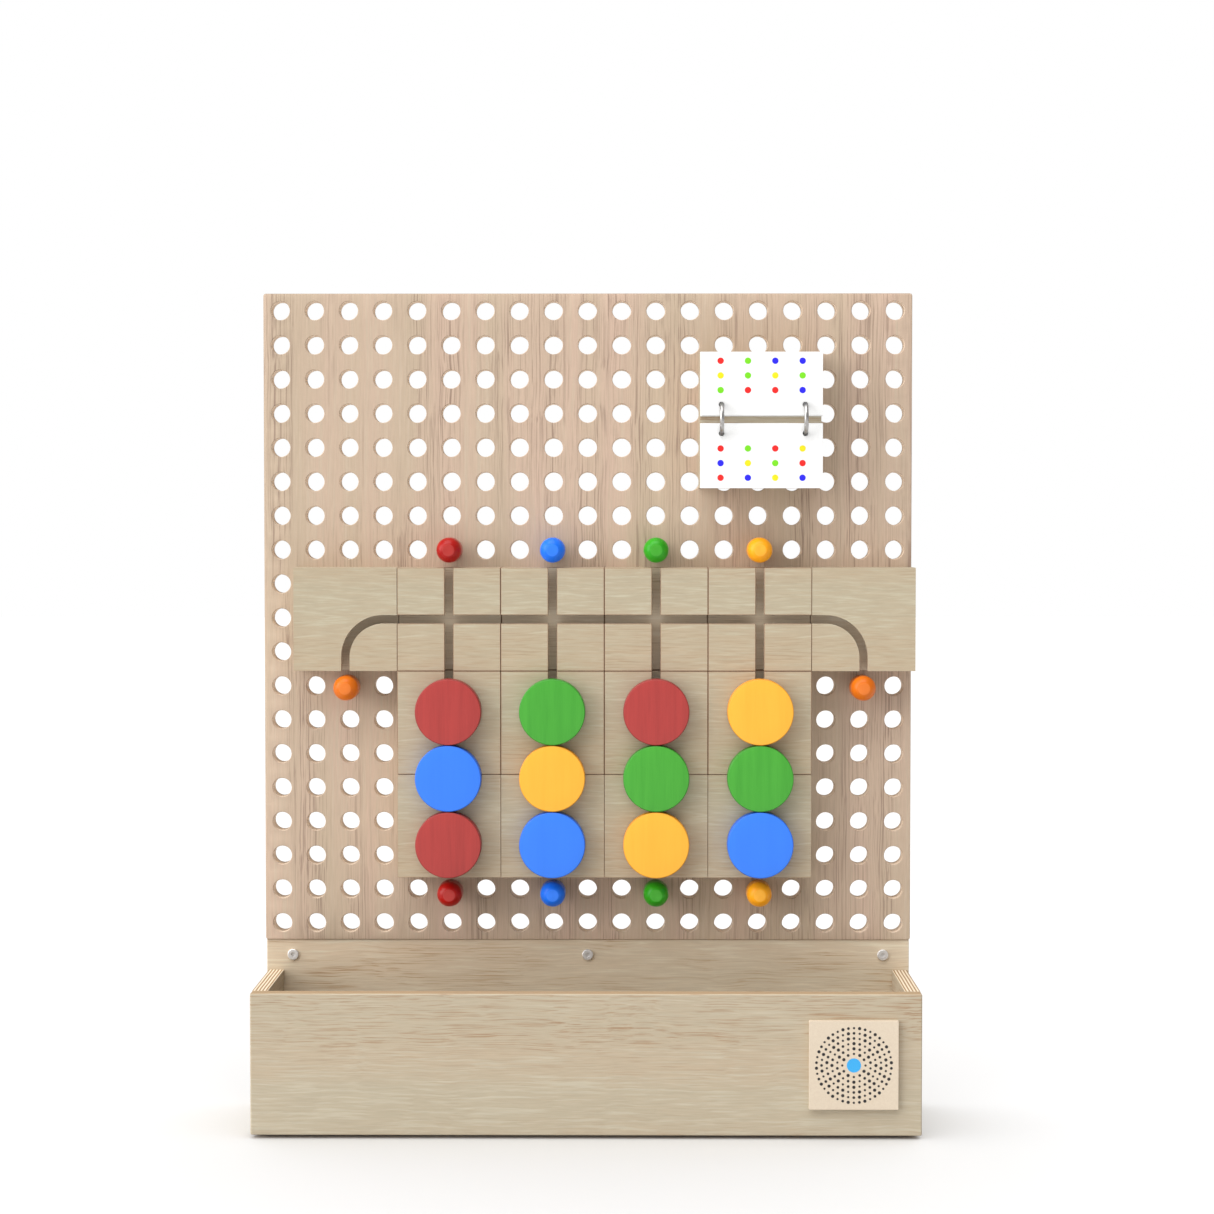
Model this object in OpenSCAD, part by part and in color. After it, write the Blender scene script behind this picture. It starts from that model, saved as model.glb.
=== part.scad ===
// Pegboard sorting game: a perforated upright board standing on an open tray.
// Track tiles plugged into the board carry twelve sliding discs in four lanes,
// coloured pegs close the ends of the track, and a block with two rings holds
// the flip cards that show which pattern the discs are to make.
// Sizes are in millimetres. X runs to the right, Y from front to back, Z up.
// The origin is on the floor, in the middle of the footprint.

/* [Pegboard] */
// Distance between neighbouring peg holes
pitch = 20; // [20:1:24]
// Number of peg holes along each side of the grid
grid_n = 19; // [19:2:23]
// Diameter of a peg hole
hole_d = 11; // [9:0.5:11]
// Thickness of the board
board_t = 12; // [12:1:15]
// Radius of the board's four corners
board_corner_r = 2; // [1:0.5:5]

/* [Tray] */
// Thickness of the tray's plywood walls
ply_t = 9; // [9:1:12]
// Height of the front and side walls
wall_h = 80; // [60:5:90]
// Height of the rail that carries the board
rail_h = 98; // [98:1:120]
// How far the front wall stands ahead of the board
tray_reach = 77; // [60:1:100]
// Width over the side walls
tray_w = 377; // [360:1:377]
// Width of the rail
rail_w = 379; // [377:1:380]
// How far the rail's face is set back from the board's face
rail_setback = 1; // [0.5:0.5:3]
// Thickness of the tray's bottom panel
bottom_t = 6; // [4:1:6]
// Height of the pads under the tray
pad_h = 2; // [2:0.5:4]

/* [Track tiles] */
// Thickness of a track tile
tile_t = 24; // [22:1:28]
// Gap between neighbouring tiles
tile_gap = 0.2; // [0.1:0.1:0.6]
// Width of the groove at the face of the tile
slot_w = 5; // [4:0.5:6]
// Depth of the narrow part of the groove
neck_depth = 6; // [5:0.5:7]
// Width of the hidden wide part of the groove
under_w = 13; // [12:0.5:14]
// Depth of the hidden wide part of the groove
under_depth = 5; // [4.5:0.5:6]
// Radius of the groove's centre line in a bend tile
bend_r = 22; // [18:1:24]

/* [Discs] */
// Diameter of a disc
disc_d = 38.1; // [30:0.1:38.1]
// Thickness of a disc's round head
disc_t = 10; // [4:0.5:12]
// Gap between two discs that lie against each other
disc_gap = 0.3; // [0.3:0.1:1]
// Gap between a disc and the face of the tile
disc_lift = 0.4; // [0.3:0.1:1]
// Diameter of the stem that runs in the groove
stem_d = 4.2; // [3:0.2:4.6]
// Diameter of the foot that holds the disc in the groove
foot_d = 11.6; // [10:0.2:11.8]

/* [Pegs] */
// Diameter of a peg's knob
peg_head_d = 14.6; // [12:0.2:15]
// Distance from the board to where the knob starts to round off
peg_head_y = 21; // [16:1:22]
// Distance from the board to the back of the knob
peg_head_back_y = 10; // [8:1:12]
// Radial clearance of a peg or dowel in its hole
peg_clearance = 0.1; // [0.06:0.02:0.2]

/* [Flip cards] */
// Width of the block behind the cards
block_w = 70; // [66:1:72]
// Height of the block behind the cards
block_h = 78; // [74:1:80]
// Thickness of the block behind the cards
block_t = 26; // [22:1:28]
// Width of a card
card_w = 70.4; // [66:0.2:72]
// Thickness of a card
card_t = 0.8; // [0.6:0.1:1]
// Height of an upper card
upper_card_h = 36.4; // [34:0.2:38]
// Height of a lower card
lower_card_h = 36.8; // [34:0.2:38]
// Distance between the two rings
ring_spacing = 48.2; // [40:0.2:52]
// Radius of a ring, to the middle of its wire
ring_r = 8.3; // [8:0.1:9]
// Thickness of the ring wire
ring_wire = 2.6; // [1.6:0.2:2.6]

/* [Plaque] */
// Side length of the square plaque
plaque_w = 50; // [40:1:60]
// Thickness of the plaque
plaque_t = 3; // [2:0.5:3]

/* [Hidden] */
$fn = 48;
eps = 0.01;

// Colours
board_wood = "#D9BEA3";
tray_wood = "#CDBEA0";
tile_wood = "#C9BC9E";
steel = "#C8C8CA";
red = "#C0392F";
blue = "#2F7FF2";
green = "#45A836";
yellow = "#FFB82E";
orange = "#E17319";

// Places. board_y is the board's front face, so that the footprint is centred.
board_w = grid_n * pitch;
board_y = (tray_reach + plaque_t - board_t) / 2;
board_z = pad_h + rail_h;
grid_z = board_z + board_w / 2;
wall_z = pad_h + wall_h;
front_y = board_y - tray_reach;
rail_y = board_y + rail_setback;
rail_back_y = board_y + board_t;
side_x = tray_w / 2;

// Half lap between the board's tongue and the lip of the rail
lap_h = 18;
tongue_t = 5;
tongue_y = rail_back_y - tongue_t;
lap_z = board_z - lap_h;

// Bolts through the lap
bolt_x = [-174, 0, 174];
bolt_z = board_z - lap_h / 2;
bolt_d = 3.8;
bolt_hole_d = 4.2;
bolt_head_d = 6.6;
bolt_head_t = 1.4;
socket_d = 3;
nut_d = 8;
nut_t = 2;
nut_bore_d = 3.9;
nut_play = 0.2;

// Bottom panel in its grooves, and dowels in the tray's corners
groove_depth = 3;
groove_z = pad_h + 3;
groove_play = 0.1;
dowel_d = 5;
dowel_play = 0.1;
dowel_z = [28, 62];
dowel_in_wall = 6;
dowel_in_side = 16;
pad_l = 20;
pad_w = 8;

// Lanes and tiles, placed on the peg grid
lane_x = [for (k = [0:3]) (3 * k - 4) * pitch];
tile_w = 3 * pitch;
bend_x = [lane_x[0] - tile_w, lane_x[3] + tile_w];
cross_z = grid_z;
lane_z = cross_z - tile_w;
lane_end_z = lane_z - tile_w;
top_peg_z = cross_z + 2 * pitch;
exit_peg_z = cross_z - 2 * pitch;
bottom_peg_z = lane_end_z - 2 * pitch;
tile_y = board_y - tile_t;

// Pegs and dowels that fit the peg holes
shank_d = hole_d - 2 * peg_clearance;
shank_tip_y = rail_back_y - 1;
shank_chamfer = 1;
peg_flat = 0.9;
peg_back_chamfer = 0.5;
plug_depth = 8;

// Discs: the lowest rests at the closed end of its lane
disc_pitch = disc_d + disc_gap;
low_disc_z = lane_end_z - pitch / 2;
foot_gap = 0.5;
foot_t = under_depth - 2 * foot_gap;
disc_edge = 1;

// Flip cards: piles of leaves on the block, the top leaf of each pile swings
card_x = lane_x[3] + 0.4;
block_z = grid_z + 115;
hinge_z = block_z + 0.5;
upper_punch_margin = ring_r - 2.2;
lower_punch_margin = ring_r - 3;
punch_d = ring_wire + 0.6;
leaf_play = 0.1;
leaf_pitch = card_t + leaf_play;
top_leaf_play = 0.3;
upper_leaves = 2;
lower_leaves = 3;
hinge_x = card_x + 1.1;
hinge_lead = 0.2;
block_y = board_y - block_t;
upper_card_y = block_y - upper_leaves * leaf_pitch - top_leaf_play - card_t;
lower_card_y = block_y - lower_leaves * leaf_pitch - top_leaf_play - card_t;
hinge_y = lower_card_y + card_t / 2 - hinge_lead;

// Plaque on the front wall
plaque_x = 150;
plaque_z = pad_h + wall_h / 2 + 0.5;

// ---------------------------------------------------------------- helpers

// Cylinder along Y from y0 back to y1
module rod_y(x, y0, y1, z, d, fn = $fn) {
    translate([x, y1, z]) rotate([90, 0, 0]) cylinder(h = y1 - y0, d = d, $fn = fn);
}

// Box given by its low corner and its high corner
module block_between(low, high) {
    translate(low) cube(high - low);
}

// Rectangle with exact round corners, low corner at the origin
module round_rect(size, r) {
    translate([r, 0]) square([size.x - 2 * r, size.y]);
    translate([0, r]) square([size.x, size.y - 2 * r]);
    for (x = [r, size.x - r], y = [r, size.y - r]) translate([x, y]) circle(r);
}

// Places of the two dowels of each tile, as [x, z]
function tile_dowel_places() = [
    for (place = tile_places(), side = [-1, 1]) [place.x + side * pitch, place.y - side * pitch]
];

// Middles of all the tiles, as [x, z]
function tile_places() = concat(
    [for (x = bend_x) [x, cross_z]],
    [for (x = lane_x, z = [cross_z, lane_z, lane_end_z]) [x, z]]
);

// ---------------------------------------------------------------- board and tray

// The perforated board with the tongue that laps behind the rail
module pegboard() {
    color(board_wood) difference() {
        union() {
            translate([-board_w / 2, rail_back_y, board_z]) rotate([90, 0, 0])
                linear_extrude(board_t) round_rect([board_w, board_w], board_corner_r);
            block_between([-rail_w / 2, tongue_y, lap_z], [rail_w / 2, rail_back_y, board_z + board_corner_r]);
        }
        for (i = [0:grid_n - 1], j = [0:grid_n - 1])
            rod_y((i + 0.5) * pitch - board_w / 2, board_y - eps, rail_back_y + eps,
                board_z + (j + 0.5) * pitch, hole_d);
        for (x = bolt_x) {
            rod_y(x, tongue_y - eps, rail_back_y + eps, bolt_z, bolt_hole_d);
            rod_y(x, rail_back_y - nut_t, rail_back_y + eps, bolt_z, nut_d + nut_play);
        }
    }
}

// The rail behind the tray, with the lip that the board stands on
module tray_back_rail() {
    color(tray_wood) difference() {
        block_between([-rail_w / 2, rail_y, pad_h], [rail_w / 2, rail_back_y, board_z]);
        block_between([-rail_w / 2 - eps, tongue_y, lap_z], [rail_w / 2 + eps, rail_back_y + eps, board_z + eps]);
        for (x = bolt_x) rod_y(x, rail_y - eps, tongue_y + eps, bolt_z, bolt_hole_d);
        bottom_groove();
        corner_dowels(dowel_d + dowel_play, 0);
    }
}

// The front wall of the tray
module tray_front_panel() {
    color(tray_wood) difference() {
        block_between([-side_x, front_y, pad_h], [side_x, front_y + ply_t, wall_z]);
        bottom_groove();
        corner_dowels(dowel_d + dowel_play, 0);
    }
}

// A side wall of the tray: side is -1 on the left and 1 on the right
module tray_side(side) {
    color(tray_wood) difference() {
        translate([side * (side_x - ply_t / 2), 0, 0])
            block_between([-ply_t / 2, front_y + ply_t, pad_h], [ply_t / 2, rail_y, wall_z]);
        bottom_groove();
        corner_dowels(dowel_d + dowel_play, 0);
    }
}

// The space in the walls that takes the edges of the bottom panel
module bottom_groove() {
    block_between(
        [-side_x + ply_t - groove_depth, front_y + ply_t - groove_depth, groove_z],
        [side_x - ply_t + groove_depth, rail_y + groove_depth, groove_z + bottom_t]
    );
}

// The bottom panel, held by its edges in the groove
module tray_bottom() {
    color(tray_wood) block_between(
        [-side_x + ply_t - groove_depth + groove_play, front_y + ply_t - groove_depth + groove_play, groove_z],
        [side_x - ply_t + groove_depth - groove_play, rail_y + groove_depth - groove_play, groove_z + bottom_t]
    );
}

// Dowels that pin the side walls to the front wall and to the rail
module corner_dowels(d, short) {
    for (side = [-1, 1], z = dowel_z) {
        x = side * (side_x - ply_t / 2);
        rod_y(x, front_y + ply_t - dowel_in_wall + short, front_y + ply_t + dowel_in_side - short, z, d);
        rod_y(x, rail_y - dowel_in_side + short, rail_y + dowel_in_wall - short, z, d);
    }
}

module tray_dowels() {
    color(board_wood) corner_dowels(dowel_d, 0.3);
}

// Socket-head bolts through the lip of the rail and the tongue of the board
module rail_bolts() {
    color(steel) for (x = bolt_x) difference() {
        union() {
            rod_y(x, rail_y - bolt_head_t, rail_y, bolt_z, bolt_head_d);
            rod_y(x, rail_y - eps, rail_back_y - 0.5, bolt_z, bolt_d);
        }
        rod_y(x, rail_y - bolt_head_t - eps, rail_y - 0.2, bolt_z, socket_d, 6);
    }
}

// Round nuts let into the back of the board
module rail_nuts() {
    color(steel) for (x = bolt_x) difference() {
        rod_y(x, rail_back_y - nut_t, rail_back_y, bolt_z, nut_d);
        rod_y(x, rail_back_y - nut_t - eps, rail_back_y + eps, bolt_z, nut_bore_d);
    }
}

// Pads under the four corners of the tray
module foot_pads() {
    color("#4A4744") for (side = [-1, 1], y = [front_y + ply_t + pad_l / 2, rail_back_y - pad_l / 2])
        translate([side * (side_x - ply_t / 2) - pad_w / 2, y - pad_l / 2, 0])
            linear_extrude(pad_h) round_rect([pad_w, pad_l], 3);
}

// Square plaque on the front wall
module plaque() {
    color("#F2E1CC")
        translate([plaque_x - plaque_w / 2, front_y, plaque_z - plaque_w / 2]) rotate([90, 0, 0])
            linear_extrude(plaque_t) round_rect([plaque_w, plaque_w], 1);
}

// ---------------------------------------------------------------- track tiles

// Cross-section of the groove, from the face of the tile inwards along +Y
module slot_profile() {
    translate([-slot_w / 2, -eps]) square([slot_w, neck_depth + 2 * eps]);
    translate([-under_w / 2, neck_depth]) square([under_w, under_depth]);
}

// Straight groove going up from the origin, in the face of a tile
module slot_up(length) {
    linear_extrude(length) slot_profile();
}

// Groove through the tile from below to above
module slot_lane() {
    translate([0, 0, -tile_w]) slot_up(2 * tile_w);
}

// Groove from side to side
module slot_cross() {
    rotate([0, 90, 0]) slot_lane();
}

// Groove that comes up a closed lane: its round lower end is below the tile's middle
module slot_closed(end_z) {
    translate([0, 0, end_z]) {
        slot_up(tile_w);
        rotate([-90, 0, 0]) {
            translate([0, 0, -eps]) cylinder(h = neck_depth + 2 * eps, d = slot_w);
            translate([0, 0, neck_depth]) cylinder(h = under_depth, d = under_w);
        }
    }
}

// Groove from the right side of the tile round to its lower edge
module slot_bend() {
    translate([bend_r, 0, 0]) rotate([0, 90, 0]) slot_up(tile_w / 2);
    translate([0, 0, -bend_r - tile_w / 2]) slot_up(tile_w / 2);
    translate([bend_r, 0, -bend_r]) rotate([90, 0, 0]) mirror([0, 0, 1]) rotate([0, 0, 90])
        rotate_extrude(angle = 90) translate([bend_r, 0]) slot_profile();
}

// A square tile at [x, z]; its grooves are the children, drawn about its middle
module tile(x, z) {
    side = tile_w - tile_gap;
    color(tile_wood) difference() {
        block_between([x - side / 2, tile_y, z - side / 2], [x + side / 2, board_y, z + side / 2]);
        translate([x, tile_y, z]) children();
        for (end = [-1, 1])
            rod_y(x + end * pitch, board_y - plug_depth, board_y + eps, z - end * pitch, hole_d);
    }
}

module bend_tile_left() {
    tile(bend_x[0], cross_z) slot_bend();
}

module bend_tile_right() {
    tile(bend_x[1], cross_z) mirror([1, 0, 0]) slot_bend();
}

module cross_tile(k) {
    tile(lane_x[k], cross_z) {
        slot_lane();
        slot_cross();
    }
}

module lane_tile(k) {
    tile(lane_x[k], lane_z) slot_lane();
}

module lane_end_tile(k) {
    tile(lane_x[k], lane_end_z) slot_closed(low_disc_z - lane_end_z);
}

// A dowel that joins a tile or a block to the board
module board_dowel(x, z) {
    rod_y(x, board_y - plug_depth + 0.5, shank_tip_y, z, shank_d);
}

module tile_dowels() {
    color(board_wood) for (place = tile_dowel_places()) board_dowel(place.x, place.y);
}

// ---------------------------------------------------------------- discs and pegs

// A disc: round head, stem through the groove, and the foot that keeps it there
module disc(k, row, shade) {
    z = low_disc_z + row * disc_pitch;
    foot_y = tile_y + neck_depth + foot_gap;
    head_y = tile_y - disc_lift;
    color(shade) {
        rod_y(lane_x[k], head_y - disc_t + disc_edge, head_y, z, disc_d);
        translate([lane_x[k], head_y - disc_t + disc_edge, z]) rotate([90, 0, 0])
            cylinder(h = disc_edge, d1 = disc_d, d2 = disc_d - 2 * disc_edge);
        rod_y(lane_x[k], head_y - eps, foot_y + eps, z, stem_d);
        rod_y(lane_x[k], foot_y, foot_y + foot_t, z, foot_d);
    }
}

// A turned peg in the hole at [x, z]: round head with a flat front, and a plain shank
module peg(x, z, shade) {
    color(shade) translate([x, board_y, z]) rotate([90, 0, 0]) {
        rotate_extrude() peg_head_outline();
        rotate_extrude() peg_shank_outline();
    }
}

// Half of the peg's knob, round in front with a small flat, and straight behind:
// across is the radius, up is the distance ahead of the board
module peg_head_outline() {
    intersection() {
        translate([0, peg_head_y]) circle(d = peg_head_d);
        translate([0, peg_head_y]) square([peg_head_d, peg_head_d / 2 - peg_flat]);
    }
    polygon([
        [0, peg_head_back_y], [peg_head_d / 2 - peg_back_chamfer, peg_head_back_y],
        [peg_head_d / 2, peg_head_back_y + peg_back_chamfer], [peg_head_d / 2, peg_head_y], [0, peg_head_y]
    ]);
}

// Half of the peg's shank, with a chamfered tip just short of the back of the board
module peg_shank_outline() {
    tip = 1 - board_t;
    polygon([
        [0, peg_head_y], [shank_d / 2, peg_head_y], [shank_d / 2, tip + shank_chamfer],
        [shank_d / 2 - shank_chamfer, tip], [0, tip]
    ]);
}

// ---------------------------------------------------------------- flip cards

// Round wire ring about the cards' hinge line
module ring(side, wire) {
    translate([hinge_x + side * ring_spacing / 2, hinge_y, hinge_z]) rotate([0, 90, 0])
        rotate_extrude() translate([ring_r, 0]) circle(d = wire);
}

// One leaf whose front face is at y, hung on the rings by its two punched holes.
// Up is 1 above the hinge line and -1 below it. A leaf deeper in the pile meets the
// round wire nearer to the hinge line, so it lies a little closer to that line.
module leaf(up, height, y) {
    depth = y + card_t / 2 - hinge_y;
    hole_reach = sqrt(ring_r * ring_r - depth * depth);
    near_edge = hole_reach - (up > 0 ? upper_punch_margin : lower_punch_margin);
    difference() {
        translate([card_x - card_w / 2, y, hinge_z + (up > 0 ? near_edge : -near_edge - height)])
            cube([card_w, card_t, height]);
        for (side = [-1, 1])
            rod_y(hinge_x + side * ring_spacing / 2, y - eps, y + card_t + eps, hinge_z + up * hole_reach, punch_d);
    }
}

// Wooden block that carries the cards, with round channels for the rings
module card_block() {
    color(tile_wood) difference() {
        block_between(
            [lane_x[3] - block_w / 2, block_y, block_z - block_h / 2],
            [lane_x[3] + block_w / 2, board_y, block_z + block_h / 2]
        );
        for (side = [-1, 1]) {
            ring(side, ring_wire + 0.4);
            rod_y(lane_x[3] + side * pitch, board_y - plug_depth, board_y + eps,
                grid_z + (6 - side) * pitch, hole_d);
        }
    }
}

module card_block_dowels() {
    color(board_wood) for (side = [-1, 1])
        board_dowel(lane_x[3] + side * pitch, grid_z + (6 - side) * pitch);
}

module upper_card_stack() {
    color("white") for (n = [1:upper_leaves]) leaf(1, upper_card_h, block_y - n * leaf_pitch);
}

module lower_card_stack() {
    color("white") for (n = [1:lower_leaves]) leaf(-1, lower_card_h, block_y - n * leaf_pitch);
}

module upper_card() {
    color("white") leaf(1, upper_card_h, upper_card_y);
}

module lower_card() {
    color("white") leaf(-1, lower_card_h, lower_card_y);
}

// ---------------------------------------------------------------- the object

lane_shades = [red, blue, green, yellow];
lower_disc_shades = [red, blue, yellow, blue];
middle_disc_shades = [blue, yellow, green, green];
upper_disc_shades = [red, green, red, yellow];

pegboard();
tray_back_rail();
tray_front_panel();
tray_side(-1);  // tray_side_left
tray_side(1);  // tray_side_right
tray_bottom();
tray_dowels();
rail_bolts();
rail_nuts();
foot_pads();
plaque();
bend_tile_left();
bend_tile_right();
tile_dowels();
card_block();
card_block_dowels();
color(steel) ring(-1, ring_wire);  // ring_left
color(steel) ring(1, ring_wire);  // ring_right
upper_card_stack();
lower_card_stack();
upper_card();
lower_card();
peg(bend_x[0], exit_peg_z, orange);  // left_exit_peg
peg(bend_x[1], exit_peg_z, orange);  // right_exit_peg
for (k = [0:3]) {
    cross_tile(k);
    lane_tile(k);
    lane_end_tile(k);
    peg(lane_x[k], top_peg_z, lane_shades[k]);
    peg(lane_x[k], bottom_peg_z, lane_shades[k]);
    disc(k, 0, lower_disc_shades[k]);
    disc(k, 1, middle_disc_shades[k]);
    disc(k, 2, upper_disc_shades[k]);
}
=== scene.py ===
"""Looks of a pegboard sorting game: a perforated board on an open tray, track tiles with sliding
discs, turned stop pegs, a block of ringed flip cards and a square plaque."""

import logging
import math
from collections.abc import Callable, Sequence
from dataclasses import dataclass
from enum import Enum

import bpy
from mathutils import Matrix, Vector

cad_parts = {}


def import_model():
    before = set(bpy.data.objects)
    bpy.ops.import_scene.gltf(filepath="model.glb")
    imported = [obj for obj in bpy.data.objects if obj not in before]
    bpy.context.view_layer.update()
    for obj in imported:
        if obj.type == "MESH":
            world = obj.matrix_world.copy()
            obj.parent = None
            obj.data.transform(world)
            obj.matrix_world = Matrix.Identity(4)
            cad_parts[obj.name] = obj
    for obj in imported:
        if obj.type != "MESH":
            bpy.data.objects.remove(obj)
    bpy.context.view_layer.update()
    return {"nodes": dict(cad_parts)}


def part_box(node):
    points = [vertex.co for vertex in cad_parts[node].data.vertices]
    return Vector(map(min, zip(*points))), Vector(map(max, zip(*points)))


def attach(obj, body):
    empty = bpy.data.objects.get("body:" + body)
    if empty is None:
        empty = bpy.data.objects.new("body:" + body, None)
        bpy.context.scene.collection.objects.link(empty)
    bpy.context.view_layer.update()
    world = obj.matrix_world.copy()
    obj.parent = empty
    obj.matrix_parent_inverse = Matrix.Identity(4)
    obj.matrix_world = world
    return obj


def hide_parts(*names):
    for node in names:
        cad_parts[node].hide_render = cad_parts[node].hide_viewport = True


LOG = logging.getLogger("sorting_game")
MM = 0.001
SAME = 1e-6
STAND = "stand"

Piece = bpy.types.Object
Socket = bpy.types.NodeSocket
Point = tuple[float, float, float]
Outline = list[tuple[float, float]]
Test = Callable[[Vector, Vector], bool]


# ------------------------------------------------------------------ modelling helpers


def let_go() -> None:
    """Leaves edit mode and deselects everything."""
    if bpy.context.object is not None and bpy.context.object.mode != "OBJECT":
        bpy.ops.object.mode_set(mode="OBJECT")
    bpy.ops.object.select_all(action="DESELECT")


def pick(*pieces: Piece) -> None:
    """Selects these pieces only, the first one active."""
    let_go()
    for piece in pieces:
        piece.select_set(True)
    bpy.context.view_layer.objects.active = pieces[0]


def newest() -> Piece:
    """Returns the primitive that was just added."""
    return bpy.context.object


def settle(piece: Piece) -> Piece:
    """Puts a piece's place, turn and size into its mesh.

    Args:
        piece: the piece, whose object may be moved, turned or scaled.

    Returns:
        The same piece, with its object at the origin.
    """
    pick(piece)
    bpy.ops.object.transform_apply(location=True, rotation=True, scale=True)
    return piece


def modify(piece: Piece, kind: str, **settings: object) -> None:
    """Adds a modifier with its settings and applies it.

    Args:
        piece: the piece to finish.
        kind: Blender's name of the modifier type.
        settings: the modifier's own settings.
    """
    pick(piece)
    modifier = piece.modifiers.new(kind.lower(), kind)
    for name, value in settings.items():
        setattr(modifier, name, value)
    bpy.ops.object.modifier_apply(modifier=modifier.name)


def edit(piece: Piece, kind: str, chosen: Test) -> None:
    """Enters edit mode with only the chosen faces or edges selected.

    Args:
        piece: the piece to edit.
        kind: FACE or EDGE.
        chosen: tells from a face's middle and normal, or an edge's two ends, whether it is wanted.
    """
    pick(piece)
    mesh = piece.data
    for element in (*mesh.vertices, *mesh.edges, *mesh.polygons):
        element.select = False
    if kind == "FACE":
        wanted = [face for face in mesh.polygons if chosen(face.center, face.normal)]
    else:
        wanted = [edge for edge in mesh.edges if chosen(*(mesh.vertices[n].co for n in edge.vertices))]
    for element in wanted:
        element.select = True
    bpy.ops.object.mode_set(mode="EDIT")
    bpy.ops.mesh.select_mode(type=kind)


def bevel_edges(piece: Piece, chosen: Test, width: float, steps: int) -> None:
    """Bevels the chosen edges.

    Args:
        piece: the piece to edit.
        chosen: tells from an edge's two ends whether it is wanted.
        width: how far the bevel reaches from the edge, in metres.
        steps: the number of faces across it.
    """
    edit(piece, "EDGE", chosen)
    bpy.ops.mesh.bevel(offset=width, segments=steps, affect="EDGES")
    let_go()


def extrude(move: Point) -> None:
    """Extrudes the selection by this much."""
    bpy.ops.mesh.extrude_region_move(TRANSFORM_OT_translate={"value": move})


def face_outwards() -> None:
    """Turns all the faces of the edited piece outwards."""
    bpy.ops.mesh.select_all(action="SELECT")
    bpy.ops.mesh.normals_make_consistent(inside=False)


def block(name: str, low: Sequence[float], high: Sequence[float]) -> Piece:
    """Adds a sharp-edged block between two corners.

    Args:
        name: the piece's name.
        low: its lowest corner, in metres.
        high: its highest corner, in metres.

    Returns:
        The block, with its place in its mesh.
    """
    let_go()
    low, high = Vector(low), Vector(high)
    bpy.ops.mesh.primitive_cube_add(size=1, location=(low + high) / 2)
    piece = newest()
    piece.name = name
    piece.scale = high - low
    return settle(piece)


def soften(piece: Piece, width: float, steps: int = 3, slot: int = -1) -> Piece:
    """Rounds a piece's hard edges and smooths the rest.

    Args:
        piece: the piece to finish.
        width: how far the rounding reaches from the edge, in metres.
        steps: the number of faces across the rounding.
        slot: the number of the rounding's material, or -1 for that of the faces beside it.

    Returns:
        The same piece.
    """
    modify(piece, "BEVEL", width=width, segments=steps, limit_method="ANGLE", angle_limit=math.radians(40),
           use_clamp_overlap=True, material=slot)
    pick(piece)
    bpy.ops.object.shade_smooth_by_angle(angle=math.radians(35))
    modify(piece, "WEIGHTED_NORMAL", keep_sharp=True)
    return piece


def carve(piece: Piece, cutters: Sequence[Piece]) -> Piece:
    """Cuts the cutters' shapes out of a piece and removes them.

    Args:
        piece: the piece to cut.
        cutters: closed shapes that reach past the piece where the cut is open.

    Returns:
        The same piece.
    """
    for cutter in cutters:
        modify(piece, "BOOLEAN", object=cutter, operation="DIFFERENCE", solver="EXACT")
        bpy.data.objects.remove(cutter)
    return piece


def join(name: str, pieces: Sequence[Piece]) -> Piece:
    """Joins several meshes into one piece with this name."""
    pick(*pieces)
    bpy.ops.object.join()
    pieces[0].name = name
    return pieces[0]


def copy_to(piece: Piece, name: str, move: Sequence[float]) -> Piece:
    """Copies a piece, with a mesh of its own, to another place.

    Args:
        piece: the piece that was modelled once.
        name: the copy's name.
        move: how far the copy stands from the first one, in metres.

    Returns:
        The copy, with its place in its mesh.
    """
    pick(piece)
    bpy.ops.object.duplicate(linked=False)
    twin = newest()
    twin.name = name
    twin.location = Vector(twin.location) + Vector(move)
    return settle(twin)


def turn(name: str, middle: Point, outline: Outline, sides: int) -> Piece:
    """Turns a round piece whose axis lies along Y, from station to station.

    Args:
        name: the piece's name.
        middle: a point on the axis; the outline's distances are measured from it along +Y.
        outline: pairs of distance and radius in metres, from the front end to the back end.
        sides: the number of sides of the round.

    Returns:
        The closed, turned piece, with its place in its mesh.
    """
    let_go()
    x, y, z = middle
    start, radius = outline[0]
    bpy.ops.mesh.primitive_circle_add(vertices=sides, radius=radius, fill_type="NGON",
                                      location=(x, y + start, z), rotation=(math.pi / 2, 0, 0))
    piece = newest()
    piece.name = name
    settle(piece)
    bpy.ops.object.mode_set(mode="EDIT")
    bpy.ops.mesh.select_mode(type="FACE")
    bpy.ops.mesh.select_all(action="SELECT")
    for reach, next_radius in outline[1:]:
        extrude((0, reach - start, 0))
        ratio = next_radius / radius
        bpy.ops.transform.resize(value=(ratio, 1, ratio), center_override=(x, y + reach, z))
        start, radius = reach, next_radius
    face_outwards()
    bpy.ops.object.mode_set(mode="OBJECT")
    return piece


def arc(centre: float, radius: float, hub: float, start: float, end: float, steps: int) -> Outline:
    """Works out the stations of a rounded stretch of a turned outline.

    Args:
        centre: distance along the axis of the arc's centre, in metres.
        radius: the arc's own radius, in metres.
        hub: distance of the arc's centre from the axis, in metres.
        start: first angle in degrees: 0 points to the front, 90 away from the axis.
        end: last angle in degrees.
        steps: the number of straight stretches.

    Returns:
        Pairs of distance and radius.
    """
    angles = [math.radians(start + (end - start) * n / steps) for n in range(steps + 1)]
    return [(centre - radius * math.cos(a), hub + radius * math.sin(a)) for a in angles]


# ------------------------------------------------------------------ materials


def linear(shade: str) -> tuple[float, float, float, float]:
    """Turns an sRGB hex colour such as #D9BEA3 into linear red, green, blue and alpha."""
    parts = [int(shade[n:n + 2], 16) / 255 for n in (1, 3, 5)]
    red, green, blue = (p / 12.92 if p <= 0.04045 else ((p + 0.055) / 1.055) ** 2.4 for p in parts)
    return red, green, blue, 1.0


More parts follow.
